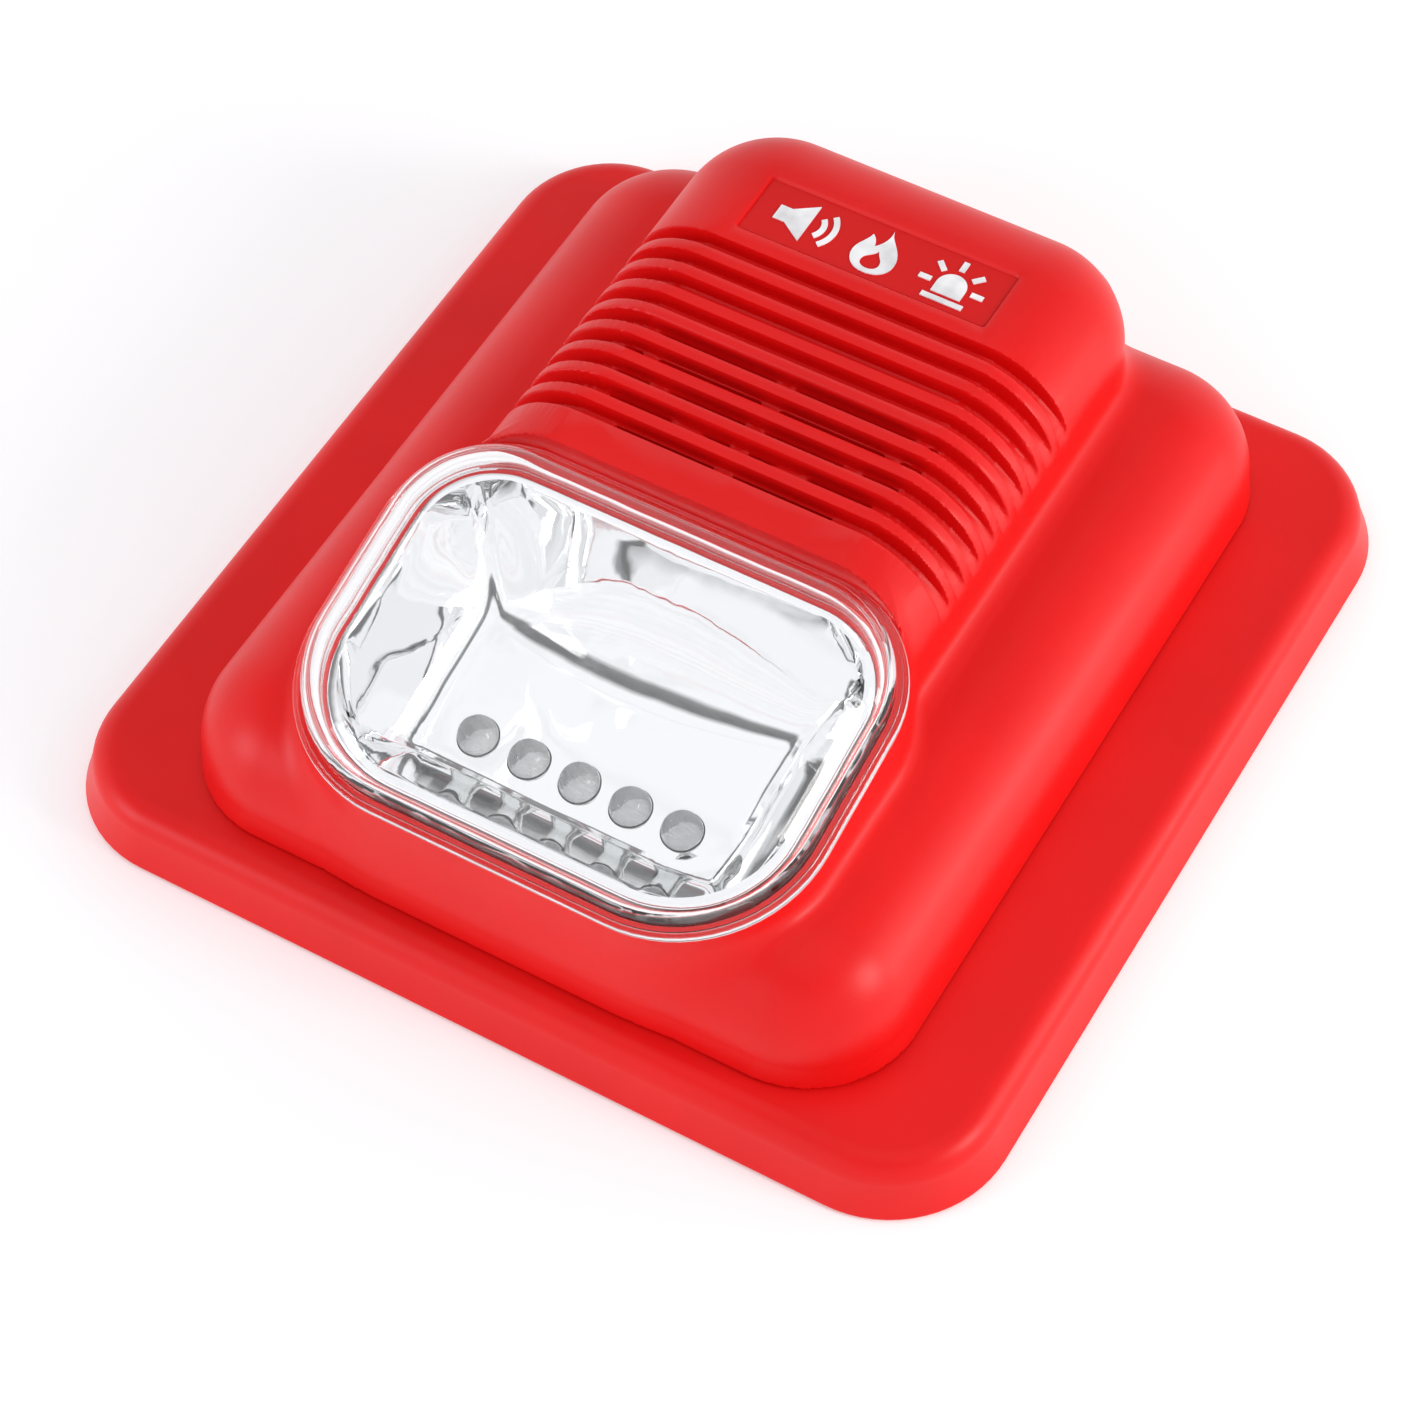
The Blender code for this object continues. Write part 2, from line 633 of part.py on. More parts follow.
def make_horn(black, mesh_grey, brass):
    at = (0.0, HORN_Y)
    bore = CUP_RADIUS - CUP_WALL
    roof = CUP_TOP - CUP_WALL
    ledge = DISC_Z + DISC_THICK + GAP
    cup = [(CUP_RADIUS, CUP_BASE), (CUP_RADIUS, CUP_TOP), (PORT_RADIUS, CUP_TOP), (PORT_RADIUS, roof)]
    cup += [(CUP_THROAT, roof), (CUP_THROAT, ledge), (bore, ledge), (bore, CUP_BASE)]
    smooth(new_object("sounder_cup", turned(cup, at, HORN_STEPS), black))
    disc = cylinder(DISC_RADIUS, 0.0, DISC_THICK, steps=HORN_STEPS)
    piezo = smooth(new_object("piezo_disc", disc, brass))
    piezo.location = (*at, DISC_Z)
    rim, top = bore - GAP, DISC_Z - GAP
    ring = [(RING_INNER, CUP_BASE), (rim, CUP_BASE), (rim, top), (RING_INNER, top)]
    smooth(new_object("sounder_ring", turned(ring, at, HORN_STEPS), black))
    low = CUP_TOP + GAP
    mesh = cylinder(CUP_RADIUS - 0.5 * MM, low, low + MESH_THICK, at, HORN_STEPS)
    smooth(new_object("dust_mesh", mesh, mesh_grey))


def make_terminals(green, steel, brass):
    low = PLATE_HEIGHT + GAP
    high = low + TERMINAL_HEIGHT
    x, y = TERMINAL_HALF
    block = new_object("terminal_block", box(x, y, low, high, (0, TERMINAL_Y)), green)
    poles = [(-POLE_X, TERMINAL_Y), (POLE_X, TERMINAL_Y)]
    well_floor = high - TERMINAL_HEIGHT / 2
    wells = [cylinder(WELL_RADIUS, well_floor, high + MM, spot, SMALL_STEPS) for spot in poles]
    boolean(block, new_object("screw_wells", combined(wells)))
    half, foot, head = WIRE_ENTRY
    entries = [box(half, y, low + foot, low + head, (pole, TERMINAL_Y - y)) for pole, _ in poles]
    boolean(block, new_object("wire_entries", combined(entries)))
    screw_radius, screw_top = WELL_RADIUS - 0.4 * MM, 2.6 * MM
    for number, spot in enumerate(poles, 1):
        head = cylinder(screw_radius, 0.0, screw_top, steps=SMALL_STEPS)
        screw = smooth(new_object(f"terminal_screw_{number}", head, steel))
        screw.location = (*spot, well_floor + GAP)
        cut = box(0.35 * MM, WELL_RADIUS, screw_top - 0.8 * MM, screw_top + MM)
        boolean(screw, new_object(f"drive_slot_{number}", cut, parent=screw))
    for number, side in enumerate((-1, 1), 1):
        make_contact(number, side * PIN_X, brass)


def make_contact(number, x, brass):
    """A spring clip on the plate and the pin on the board that plugs into it."""
    low = PLATE_HEIGHT + GAP
    high = low + CLIP_HEIGHT
    inner = PIN_RADIUS + GAP
    outer = inner + CLIP_LEAF
    section = [(-outer, low), (outer, low), (outer, high), (inner, high), (inner, low + CLIP_LEAF)]
    section += [(-inner, low + CLIP_LEAF), (-inner, high), (-outer, high)]
    section = [(x + across, z) for across, z in section]
    clip = prism(section, TERMINAL_Y - CLIP_HALF, TERMINAL_Y + CLIP_HALF)
    new_object(f"contact_clip_{number}", clip, brass)
    top = MAIN_BOARD_CENTRE.z - GAP
    tip = low + 2 * MM
    pin = [(0, tip), (0.5 * MM, tip), (PIN_RADIUS, tip + MM), (PIN_RADIUS, top), (0, top)]
    smooth(new_object(f"plug_pin_{number}", turned(pin, (x, TERMINAL_Y), SCREW_STEPS), brass))


def make_leads(red, black):
    """Wires inside the front unit, from the main board to the lamps and the horn disc."""
    for number, side, colour in ((1, -1, red), (2, 1, black)):
        x = side * 3 * MM
        strobe = [(x, -1 * MM, 21 * MM), (x, -4 * MM, 17.5 * MM), (x, -12 * MM, 14 * MM)]
        strobe += [(x, -22 * MM, 12.6 * MM), (x, -28.5 * MM, 12.4 * MM)]
        tube(f"strobe_lead_{number}", strobe, 0.6 * MM, colour)
        x = side * 7 * MM
        horn = [(x, HORN_Y, DISC_Z - 1.2 * MM), (x * 1.1, HORN_Y + 3 * MM, 26.6 * MM)]
        horn += [(x * 1.2, HORN_Y + 2 * MM, 24.8 * MM)]
        tube(f"sounder_lead_{number}", horn, 0.5 * MM, colour)


def make_all():
    clear_scene()
    red = material("red_plastic", (0.72, 0.015, 0.018), 0.38)
    clear = material("clear_plastic", (0.95, 0.96, 0.97), 0.03, alpha=0.25)
    lamp = material("lamp_epoxy", (0.9, 0.92, 0.92), 0.05, alpha=0.5)
    chrome = material("chrome", (0.9, 0.9, 0.9), 0.05, 1.0)
    green = material("circuit_board", (0.02, 0.16, 0.07), 0.45)
    black = material("black_plastic", (0.02, 0.02, 0.022), 0.5)
    steel = material("steel", (0.6, 0.6, 0.6), 0.3, 1.0)
    brass = material("brass", (0.72, 0.52, 0.22), 0.3, 1.0)
    copper = material("copper_winding", (0.6, 0.25, 0.12), 0.4, 1.0)
    sleeve = material("capacitor_sleeve", (0.03, 0.04, 0.1), 0.35)
    mesh_grey = material("dust_cloth", (0.05, 0.05, 0.05), 0.9)
    wire_red = material("wire_red", (0.55, 0.02, 0.02), 0.45)
    terminal_green = material("terminal_green", (0.03, 0.22, 0.09), 0.45)
    seat = bpy.data.objects.new("seat_frame", None)
    bpy.context.scene.collection.objects.link(seat)
    seat.location = SEAT_CENTRE
    seat.rotation_euler = (SEAT_TILT, 0, 0)
    make_base_plate(red)
    make_housing(red, seat)
    make_lens(clear, seat)
    make_reflector(chrome, seat)
    make_lamps(lamp, seat)
    make_strobe_board(green, seat)
    make_main_board(green)
    make_board_screws(steel)
    make_board_parts(black, sleeve, copper)
    make_horn(black, mesh_grey, brass)
    make_terminals(terminal_green, steel, brass)
    make_leads(wire_red, black)


make_all()
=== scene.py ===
"""The looks of the horn strobe: fine surfaces, materials, lights and the camera."""

import json
from math import cos, pi, radians, sin

import bmesh
import bpy
import numpy as np
from mathutils import Matrix, Vector


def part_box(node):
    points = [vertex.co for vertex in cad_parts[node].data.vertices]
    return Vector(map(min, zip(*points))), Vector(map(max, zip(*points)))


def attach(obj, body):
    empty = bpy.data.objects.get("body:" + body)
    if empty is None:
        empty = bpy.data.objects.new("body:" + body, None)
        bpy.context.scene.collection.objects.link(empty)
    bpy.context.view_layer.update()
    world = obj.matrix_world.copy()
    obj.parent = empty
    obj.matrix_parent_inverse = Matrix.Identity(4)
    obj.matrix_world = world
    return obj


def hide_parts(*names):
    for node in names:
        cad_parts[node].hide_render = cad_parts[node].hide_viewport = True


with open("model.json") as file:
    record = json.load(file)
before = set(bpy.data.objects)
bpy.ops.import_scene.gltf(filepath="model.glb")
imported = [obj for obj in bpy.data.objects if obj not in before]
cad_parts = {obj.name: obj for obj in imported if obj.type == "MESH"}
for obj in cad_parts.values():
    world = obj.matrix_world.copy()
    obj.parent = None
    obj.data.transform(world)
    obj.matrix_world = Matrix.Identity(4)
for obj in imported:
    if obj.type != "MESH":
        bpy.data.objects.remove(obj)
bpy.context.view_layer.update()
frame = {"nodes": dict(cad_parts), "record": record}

MM = 0.001

# Driving dimensions in mm, most of them read from the CAD nodes or the same as in the CAD
PLATE_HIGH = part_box("base_plate")[1] / MM
PLATE_HALF = (PLATE_HIGH.x, PLATE_HIGH.y)
PLATE_CORNER, PLATE_TOP, PLATE_EDGE, PLATE_DRAFT, PLATE_SKIN, PLATE_RIM = 15.2, 8.0, 3.4, 1.4, 2.4, 3.2
HOUSING_LOW, HOUSING_HIGH = (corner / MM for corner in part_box("front_housing"))
FOOT = HOUSING_LOW.z
TIER = (HOUSING_HIGH.x, -HOUSING_HIGH.y, HOUSING_HIGH.y, 14.0, 14.0)
TIER_TOP, TIER_SHOULDER, TIER_DRAFT = 23.8, 12.0, 0.4
HUMP = (30.8, -52.0, 53.9, 14.0, 14.0)
HUMP_TOP, HUMP_SHOULDER, HUMP_DRAFT = HOUSING_HIGH.z, 12.0, 0.8
WALL, CROWN = 2.2, 3.3
TILT = radians(13.0)
SEAT = Vector((0.0, -32.1, 30.5))
LENS_HALF, LENS_CORNERS = (34.0, 24.4), (18.5, 14.8)
FLANGE, FLANGE_WIDTH, DOME_HEIGHT, DOME_EDGE, DOME_DRAFT, LENS_WALL = 1.2, 0.7, 7.0, 6.2, 0.5, 2.0
DOME_RISE = 0.35  # how much the dome's top face swells in its middle
WINDOW_INSET, PAD_INSET = 3.4, 0.4
WINDOW_MIDDLE, WINDOW_REACH = -8.0, 17.0  # the cut's height in the seat's frame
GAP = 0.3
GROOVES, PITCH, GROOVE_WIDTH, GROOVE_DEPTH, GROOVE_TIP, GROOVE_BOW = 9, 3.72, 2.1, 2.2, 29.0, 1.6
HORN_Y, HORN_RADIUS, ARCH_Y, ARCH_RADII, BRIDGE, SLOT_WIDTH = 12.1, 20.4, 19.8, (18.8, 20.4), 1.2, 1.5
LABEL_HALF, LABEL_Y, LABEL_DEPTH = (17.0, 4.65), 35.1, 0.5
SCREW_SPOTS = [(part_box(f"board_screw_{i}")[0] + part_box(f"board_screw_{i}")[1]) / 2 / MM for i in range(1, 5)]
BOSS_RADIUS, BOSS_LOW, BOSS_HIGH = 2.9, 23.9, 33.5
BOSS_BORE, BORE_LOW, BORE_HIGH = 1.4, 22.0, 32.5
PEG_XY, PEG_RADIUS, PEG_HIGH = (38.0, 45.0), 2.0, 16.0
SOCKET_RADIUS, SOCKET_LIFT, SOCKET_HIGH, SOCKET_BORE_HIGH = 4.0, 0.7, 19.3, 17.0
CABLE_ENTRY = (12.0, -3.0, 15.0, 3.0, 3.0)
SCREW_SLOT, SCREW_XY = (5.0, -2.3, 2.3, 2.29, 2.29), (30.0, 41.0)
SLOT_DISH, DISH_DEPTH = (5.6, -3.4, 3.4, 3.3, 3.3), 0.8

# How softly the housing's shapes blend into each other, in mm
TIER_BLEND, PAD_BLEND, CAVITY_BLEND, BOSS_BLEND = 3.2, 3.0, 1.5, 0.8
EDGE_BLEND, GROOVE_BLEND, LABEL_BLEND = 0.3, 0.25, 0.2


# --- node materials ----------------------------------------------------


def fill_ramp(ramp, stops):
    """Gives a colour ramp these (position, colour) stops, in rising order."""
    for element, (at, colour) in zip(ramp.elements, (stops[0], stops[-1])):
        element.position = at
        element.color = (*colour, 1.0)
    for at, colour in stops[1:-1]:
        ramp.elements.new(at).color = (*colour, 1.0)


class Look:
    """A Principled material with helpers that add procedural detail to it."""

    def __init__(self, name, colour, roughness, metallic=0.0, **inputs):
        self.material = bpy.data.materials.new(name)
        self.material.use_nodes = True
        self.nodes = self.material.node_tree.nodes
        self.links = self.material.node_tree.links
        self.shader = self.nodes["Principled BSDF"]
        self.set("Base Color", (*colour, 1.0))
        self.set("Roughness", roughness)
        self.set("Metallic", metallic)
        for key, value in inputs.items():
            self.set(key.replace("_", " "), value)
        self.place = self.nodes.new("ShaderNodeTexCoord").outputs["Object"]
        self.height = None

    def set(self, socket, value):
        self.shader.inputs[socket].default_value = value

    def noise(self, scale, detail=2.0, stretch=None):
        """Noise of about 1/scale metres."""
        place = self.place
        if stretch:
            mapping = self.nodes.new("ShaderNodeMapping")
            mapping.inputs["Scale"].default_value = stretch
            self.links.new(place, mapping.inputs["Vector"])
            place = mapping.outputs["Vector"]
        made = self.nodes.new("ShaderNodeTexNoise")
        made.inputs["Scale"].default_value = scale
        made.inputs["Detail"].default_value = detail
        self.links.new(place, made.inputs["Vector"])
        return made.outputs["Fac"]

    def voronoi(self, scale):
        made = self.nodes.new("ShaderNodeTexVoronoi")
        made.inputs["Scale"].default_value = scale
        self.links.new(self.place, made.inputs["Vector"])
        return made.outputs["Distance"]

    def ramp(self, value, stops):
        made = self.nodes.new("ShaderNodeValToRGB")
        fill_ramp(made.color_ramp, stops)
        self.links.new(value, made.inputs["Fac"])
        return made.outputs["Color"]

    def between(self, value, low, high):
        made = self.nodes.new("ShaderNodeMapRange")
        made.inputs["To Min"].default_value = low
        made.inputs["To Max"].default_value = high
        self.links.new(value, made.inputs["Value"])
        return made.outputs["Result"]

    def colour_from(self, value, stops):
        self.links.new(self.ramp(value, stops), self.shader.inputs["Base Color"])
        return self

    def roughness_from(self, value, low, high):
        self.links.new(self.between(value, low, high), self.shader.inputs["Roughness"])
        return self

    def bump(self, value, depth, strength=1.0):
        """Adds a bump of this depth in metres, on top of any earlier one."""
        made = self.nodes.new("ShaderNodeBump")
        made.inputs["Distance"].default_value = depth
        made.inputs["Strength"].default_value = strength
        self.links.new(value, made.inputs["Height"])
        if self.height:
            self.links.new(self.height, made.inputs["Normal"])
        self.height = made.outputs["Normal"]
        self.links.new(self.height, self.shader.inputs["Normal"])
        return self

    def let_lamps_through(self):
        """Lets lamps shine through clear plastic, so that what is behind it isn't black."""
        tree = self.material.node_tree
        path = self.nodes.new("ShaderNodeLightPath")
        clear = self.nodes.new("ShaderNodeBsdfTransparent")
        mix = self.nodes.new("ShaderNodeMixShader")
        self.links.new(path.outputs["Is Shadow Ray"], mix.inputs["Fac"])
        self.links.new(self.shader.outputs["BSDF"], mix.inputs[1])
        self.links.new(clear.outputs["BSDF"], mix.inputs[2])
        self.links.new(mix.outputs["Shader"], tree.nodes["Material Output"].inputs["Surface"])
        return self


def red_plastic(name, colour, roughness=0.38):
    """Satin moulded plastic: fine spark texture, faint flow marks, slight colour drift."""
    look = Look(name, colour, roughness, Specular_IOR_Level=0.28)
    dark = tuple(0.93 * part for part in colour)
    light = tuple(min(1.04 * part, 1.0) for part in colour)
    look.colour_from(look.noise(45, 3), [(0.3, dark), (0.7, light)])
    look.roughness_from(look.noise(160, 4), 0.9 * roughness, 1.16 * roughness)
    look.bump(look.noise(5200, 2), 0.000012, 0.5)
    look.bump(look.noise(70, 2), 0.00006, 0.25)
    return look.material


def clear_lens():
    look = Look("clear_polycarbonate", (0.985, 0.99, 0.995), 0.015, Transmission_Weight=1.0, IOR=1.5)
    look.bump(look.noise(120, 1), 0.00025, 0.45)
    look.let_lamps_through()
    return look.material


def mirror():
    """Vacuum plating over a moulding that isn't quite true, so reflections waver."""
    look = Look("mirror_plating", (0.97, 0.972, 0.975), 0.03, 1.0)
    look.roughness_from(look.noise(300, 3), 0.01, 0.035)
    look.bump(look.noise(95, 1), 0.0002, 0.4)
    look.bump(look.noise(330, 1, (1.0, 0.35, 1.0)), 0.00003, 0.4)
    return look.material


def lamp_epoxy():
    look = Look("lamp_epoxy", (0.95, 0.97, 0.96), 0.05, Transmission_Weight=0.85, IOR=1.5)
    look.bump(look.noise(700, 2), 0.00012, 0.6)
    look.let_lamps_through()
    return look.material


def plain(name, colour, roughness, metallic=0.0, grain=2500, depth=0.00001, **inputs):
    """A small inner piece: its colour and roughness vary, and it has a fine grain."""
    look = Look(name, colour, roughness, metallic, **inputs)
    dark = tuple(0.82 * part for part in colour)
    light = tuple(min(1.12 * part + 0.004, 1.0) for part in colour)
    look.colour_from(look.noise(grain / 12, 3), [(0.35, dark), (0.65, light)])
    look.roughness_from(look.noise(grain / 5, 3), 0.85 * roughness, min(1.2 * roughness, 1.0))
    look.bump(look.noise(grain, 2), depth, 0.6)
    return look.material


def brushed(name, colour, roughness):
    look = Look(name, colour, roughness, 1.0)
    streaks = look.noise(900, 3, (1.0, 14.0, 1.0))
    look.roughness_from(streaks, 0.8 * roughness, 1.25 * roughness)
    look.bump(streaks, 0.00001, 0.6)
    return look.material


def woven(name, colour):
    look = Look(name, colour, 0.9)
    look.colour_from(look.voronoi(2200), [(0.2, tuple(2.5 * part for part in colour)), (0.8, colour)])
    look.bump(look.voronoi(2200), 0.0001, 0.8)
    return look.material


LOOKS = {
    "red_plate": red_plastic("red_plastic_plate", (0.73, 0.004, 0.004)),
    "red_housing": red_plastic("red_plastic_housing", (0.74, 0.004, 0.004)),
    "clear_lens": clear_lens(),
    "mirror_plating": mirror(),
    "lamp_epoxy": lamp_epoxy(),
    "circuit_board": plain("solder_mask", (0.015, 0.13, 0.05), 0.35, grain=1800),
    "screw_steel": brushed("zinc_plate", (0.62, 0.62, 0.64), 0.28),
    "capacitor_sleeve": plain("shrink_sleeve", (0.02, 0.03, 0.09), 0.3),
    "copper_winding": brushed("enamelled_copper", (0.62, 0.26, 0.11), 0.32),
    "black_plastic": plain("black_moulding", (0.018, 0.018, 0.02), 0.5),
    "dust_cloth": woven("dust_cloth", (0.012, 0.012, 0.012)),
    "brass": brushed("rolled_brass", (0.72, 0.53, 0.24), 0.27),
    "terminal_green": plain("terminal_moulding", (0.02, 0.2, 0.07), 0.42),
    "wire_red": plain("wire_red", (0.5, 0.015, 0.015), 0.4),
    "wire_black": plain("wire_black", (0.02, 0.02, 0.022), 0.4),
}
LABEL_RED = red_plastic("red_label", (0.66, 0.005, 0.005), 0.3)
PRINT_WHITE = plain("print_white", (0.83, 0.83, 0.84), 0.45, grain=3000)
CERAMIC = plain("piezo_ceramic", (0.75, 0.74, 0.7), 0.5)
TRACK_GREEN = plain("track_green", (0.03, 0.22, 0.08), 0.3, grain=1800)
SOLDER = brushed("solder", (0.7, 0.7, 0.72), 0.2)


# --- mesh helpers ------------------------------------------------------


def smooth(mesh, sharp):
    """Smooth shading, with edges sharp above this angle in degrees, or none for 0."""
    mesh.shade_smooth()
    if sharp:
        mesh.set_sharp_from_angle(angle=radians(sharp))


def link(name, shape, slot, body, look=None, replaces=(), sharp=30):
    """Puts a mesh, or a builder in mm, in the scene as a piece that rides on a CAD body."""
    mesh = shape if isinstance(shape, bpy.types.Mesh) else from_bmesh(shape, name)
    obj = bpy.data.objects.new(name, mesh)
    bpy.context.scene.collection.objects.link(obj)
    mesh.materials.clear()
    mesh.materials.append(look or LOOKS[slot])
    smooth(mesh, sharp)
    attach(obj, body)
    if replaces:
        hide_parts(*replaces)
    return obj


def from_bmesh(builder, name):
    """Turns a builder in mm into a mesh in metres, and frees it."""
    bmesh.ops.recalc_face_normals(builder, faces=builder.faces)
    builder.transform(Matrix.Scale(MM, 4))
    mesh = bpy.data.meshes.new(name)
    builder.to_mesh(mesh)
    builder.free()
    return mesh


def outline(half_x, front, rear, front_corner, rear_corner, steps=16):
    """A rectangle with round corners, counterclockwise from its front right corner."""
    corners = (
        (half_x - front_corner, front + front_corner, front_corner, -pi / 2),
        (half_x - rear_corner, rear - rear_corner, rear_corner, 0.0),
        (-half_x + rear_corner, rear - rear_corner, rear_corner, pi / 2),
        (-half_x + front_corner, front + front_corner, front_corner, pi),
    )
    points = []
    for x, y, radius, start in corners:
        for step in range(steps + 1):
            angle = start + pi / 2 * step / steps
            points.append((x + radius * cos(angle), y + radius * sin(angle)))
    return points


def inset(plan, by, steps=16):
    """A plan's outline, moved in by this much."""
    half_x, front, rear, front_corner, rear_corner = plan
    corners = (max(front_corner - by, 0.1), max(rear_corner - by, 0.1))
    return outline(half_x - by, front + by, rear - by, *corners, steps)


def add_skin(made, rows):
    """Adds a closed skin through rows of points, capped at both ends, to a builder."""
    rows = [[made.verts.new(point) for point in row] for row in rows]
    for low, high in zip(rows, rows[1:]):
        for i in range(len(low)):
            j = (i + 1) % len(low)
            made.faces.new((low[i], low[j], high[j], high[i]))
    made.faces.new(rows[0])
    made.faces.new(rows[-1])


def loft(rings):
    """A solid through rings of (outline, height)."""
    made = bmesh.new()
    add_skin(made, [[(x, y, z) for x, y in points] for points, z in rings])
    return made


def extruded(points, low, high):
    return loft([(points, low), (points, high)])


def turned(profile, steps=48):
    """A solid of revolution round Z from a closed run of (radius, height) points."""
    made = bmesh.new()
    axis = {i: made.verts.new((0, 0, z)) for i, (radius, z) in enumerate(profile) if radius == 0}
    rows = []
    for step in range(steps):
        turn = 2 * pi * step / steps
        rows.append([
            axis.get(i) or made.verts.new((radius * cos(turn), radius * sin(turn), z))
            for i, (radius, z) in enumerate(profile)
        ])
    for here, there in zip(rows, rows[1:] + rows[:1]):
        for i in range(len(profile)):
            j = (i + 1) % len(profile)
            corners = list(dict.fromkeys((here[i], here[j], there[j], there[i])))
            if len(corners) > 2:
                made.faces.new(corners)
    return made


def arc(centre, radius, start, end, steps):
    """Points on an arc, with its angles in degrees."""
    x, y = centre
    turns = [radians(start + (end - start) * step / steps) for step in range(steps + 1)]
    return [(x + radius * cos(turn), y + radius * sin(turn)) for turn in turns]


# --- implicit surfaces: the housing is one formula, meshed on a grid ----


def round_corner(a, b, radius):
    """Distance from a corner of this radius, from the distances inside its two sides."""
    return np.minimum(np.maximum(a, b), 0) + np.hypot(np.maximum(a, 0), np.maximum(b, 0)) - radius


def rectangle_distance(x, y, plan):
    """Distance in plan from a round-cornered rectangle, negative inside."""
    half_x, front, rear, front_corner, rear_corner = plan
    middle, half_y = (front + rear) / 2, (rear - front) / 2
    corner = np.where(y < middle, front_corner, rear_corner)
    a = np.abs(x) - half_x + corner
    b = np.abs(y - middle) - half_y + corner
    return round_corner(a, b, corner)


def shoulder_block(x, y, z, plan, top, shoulder, draft, shrink=0.0):
    """A block with drafted sides and round shoulders, or its cavity when it is shrunk."""
    radius = shoulder - shrink
    start = top - shoulder
    side = rectangle_distance(x, y, plan) + draft * np.clip((z - FOOT) / (start - FOOT), 0, 1) + shrink
    return round_corner(side + radius, z - start, radius)


def smooth_min(a, b, width):
    """The lower of two distances, blended where they are within this width."""
    mix = np.clip(0.5 + 0.5 * (b - a) / width, 0, 1)
    return b + (a - b) * mix - width * mix * (1 - mix)


def smooth_max(a, b, width):
    return -smooth_min(-a, -b, width)


def lens_distance(x, y, by=0.0):
    """Distance in the seat's plane from the lens's outline, moved in by this much."""
    return rectangle_distance(x, y, (LENS_HALF[0], -LENS_HALF[1], LENS_HALF[1], *LENS_CORNERS)) + by


GRILLE_REACH = GROOVES // 2 * PITCH + PITCH / 2


def stripe_distance(along, width):
    """Distance from a row of stripes, one pitch apart."""
    return np.abs((along + PITCH / 2) % PITCH - PITCH / 2) - width / 2


def groove_distance(x, y, z):
    """Negative inside the grille's grooves, whose floors curve down at both ends."""
    along = y - HORN_Y
    across = np.maximum(stripe_distance(along, GROOVE_WIDTH), np.abs(along) - GRILLE_REACH)
    flat = HUMP[0] - HUMP_DRAFT - HUMP_SHOULDER
    wide, high = HUMP_SHOULDER, HUMP_TOP - GROOVE_DEPTH - GROOVE_TIP
    a, b = np.maximum(np.abs(x) - flat, 0) / wide, np.maximum(z - GROOVE_TIP, 0) / high
    floor = ((a**GROOVE_BOW + b**GROOVE_BOW) ** (1 / GROOVE_BOW) - 1) * high
    floor = np.where(z < GROOVE_TIP, -1.0, floor)
    return smooth_max(across, -floor, EDGE_BLEND)


def slot_distance(x, y, z):
    """Negative inside the through slots of the horn's round field."""
    along = y - HORN_Y
    rows = np.maximum(along - PITCH / 2, -along - GRILLE_REACH)
    disc = np.hypot(x, along) - HORN_RADIUS
    arch = np.hypot(x, y - ARCH_Y)
    ring = np.maximum(ARCH_RADII[0] - arch, arch - ARCH_RADII[1])
    bridges = np.maximum(BRIDGE - np.abs(x), -0.6 * ring)
    height = np.maximum(z - HUMP_TOP, HUMP_TOP - 2 * CROWN - z)
    return np.maximum.reduce([stripe_distance(along, SLOT_WIDTH), rows, disc, bridges, height])


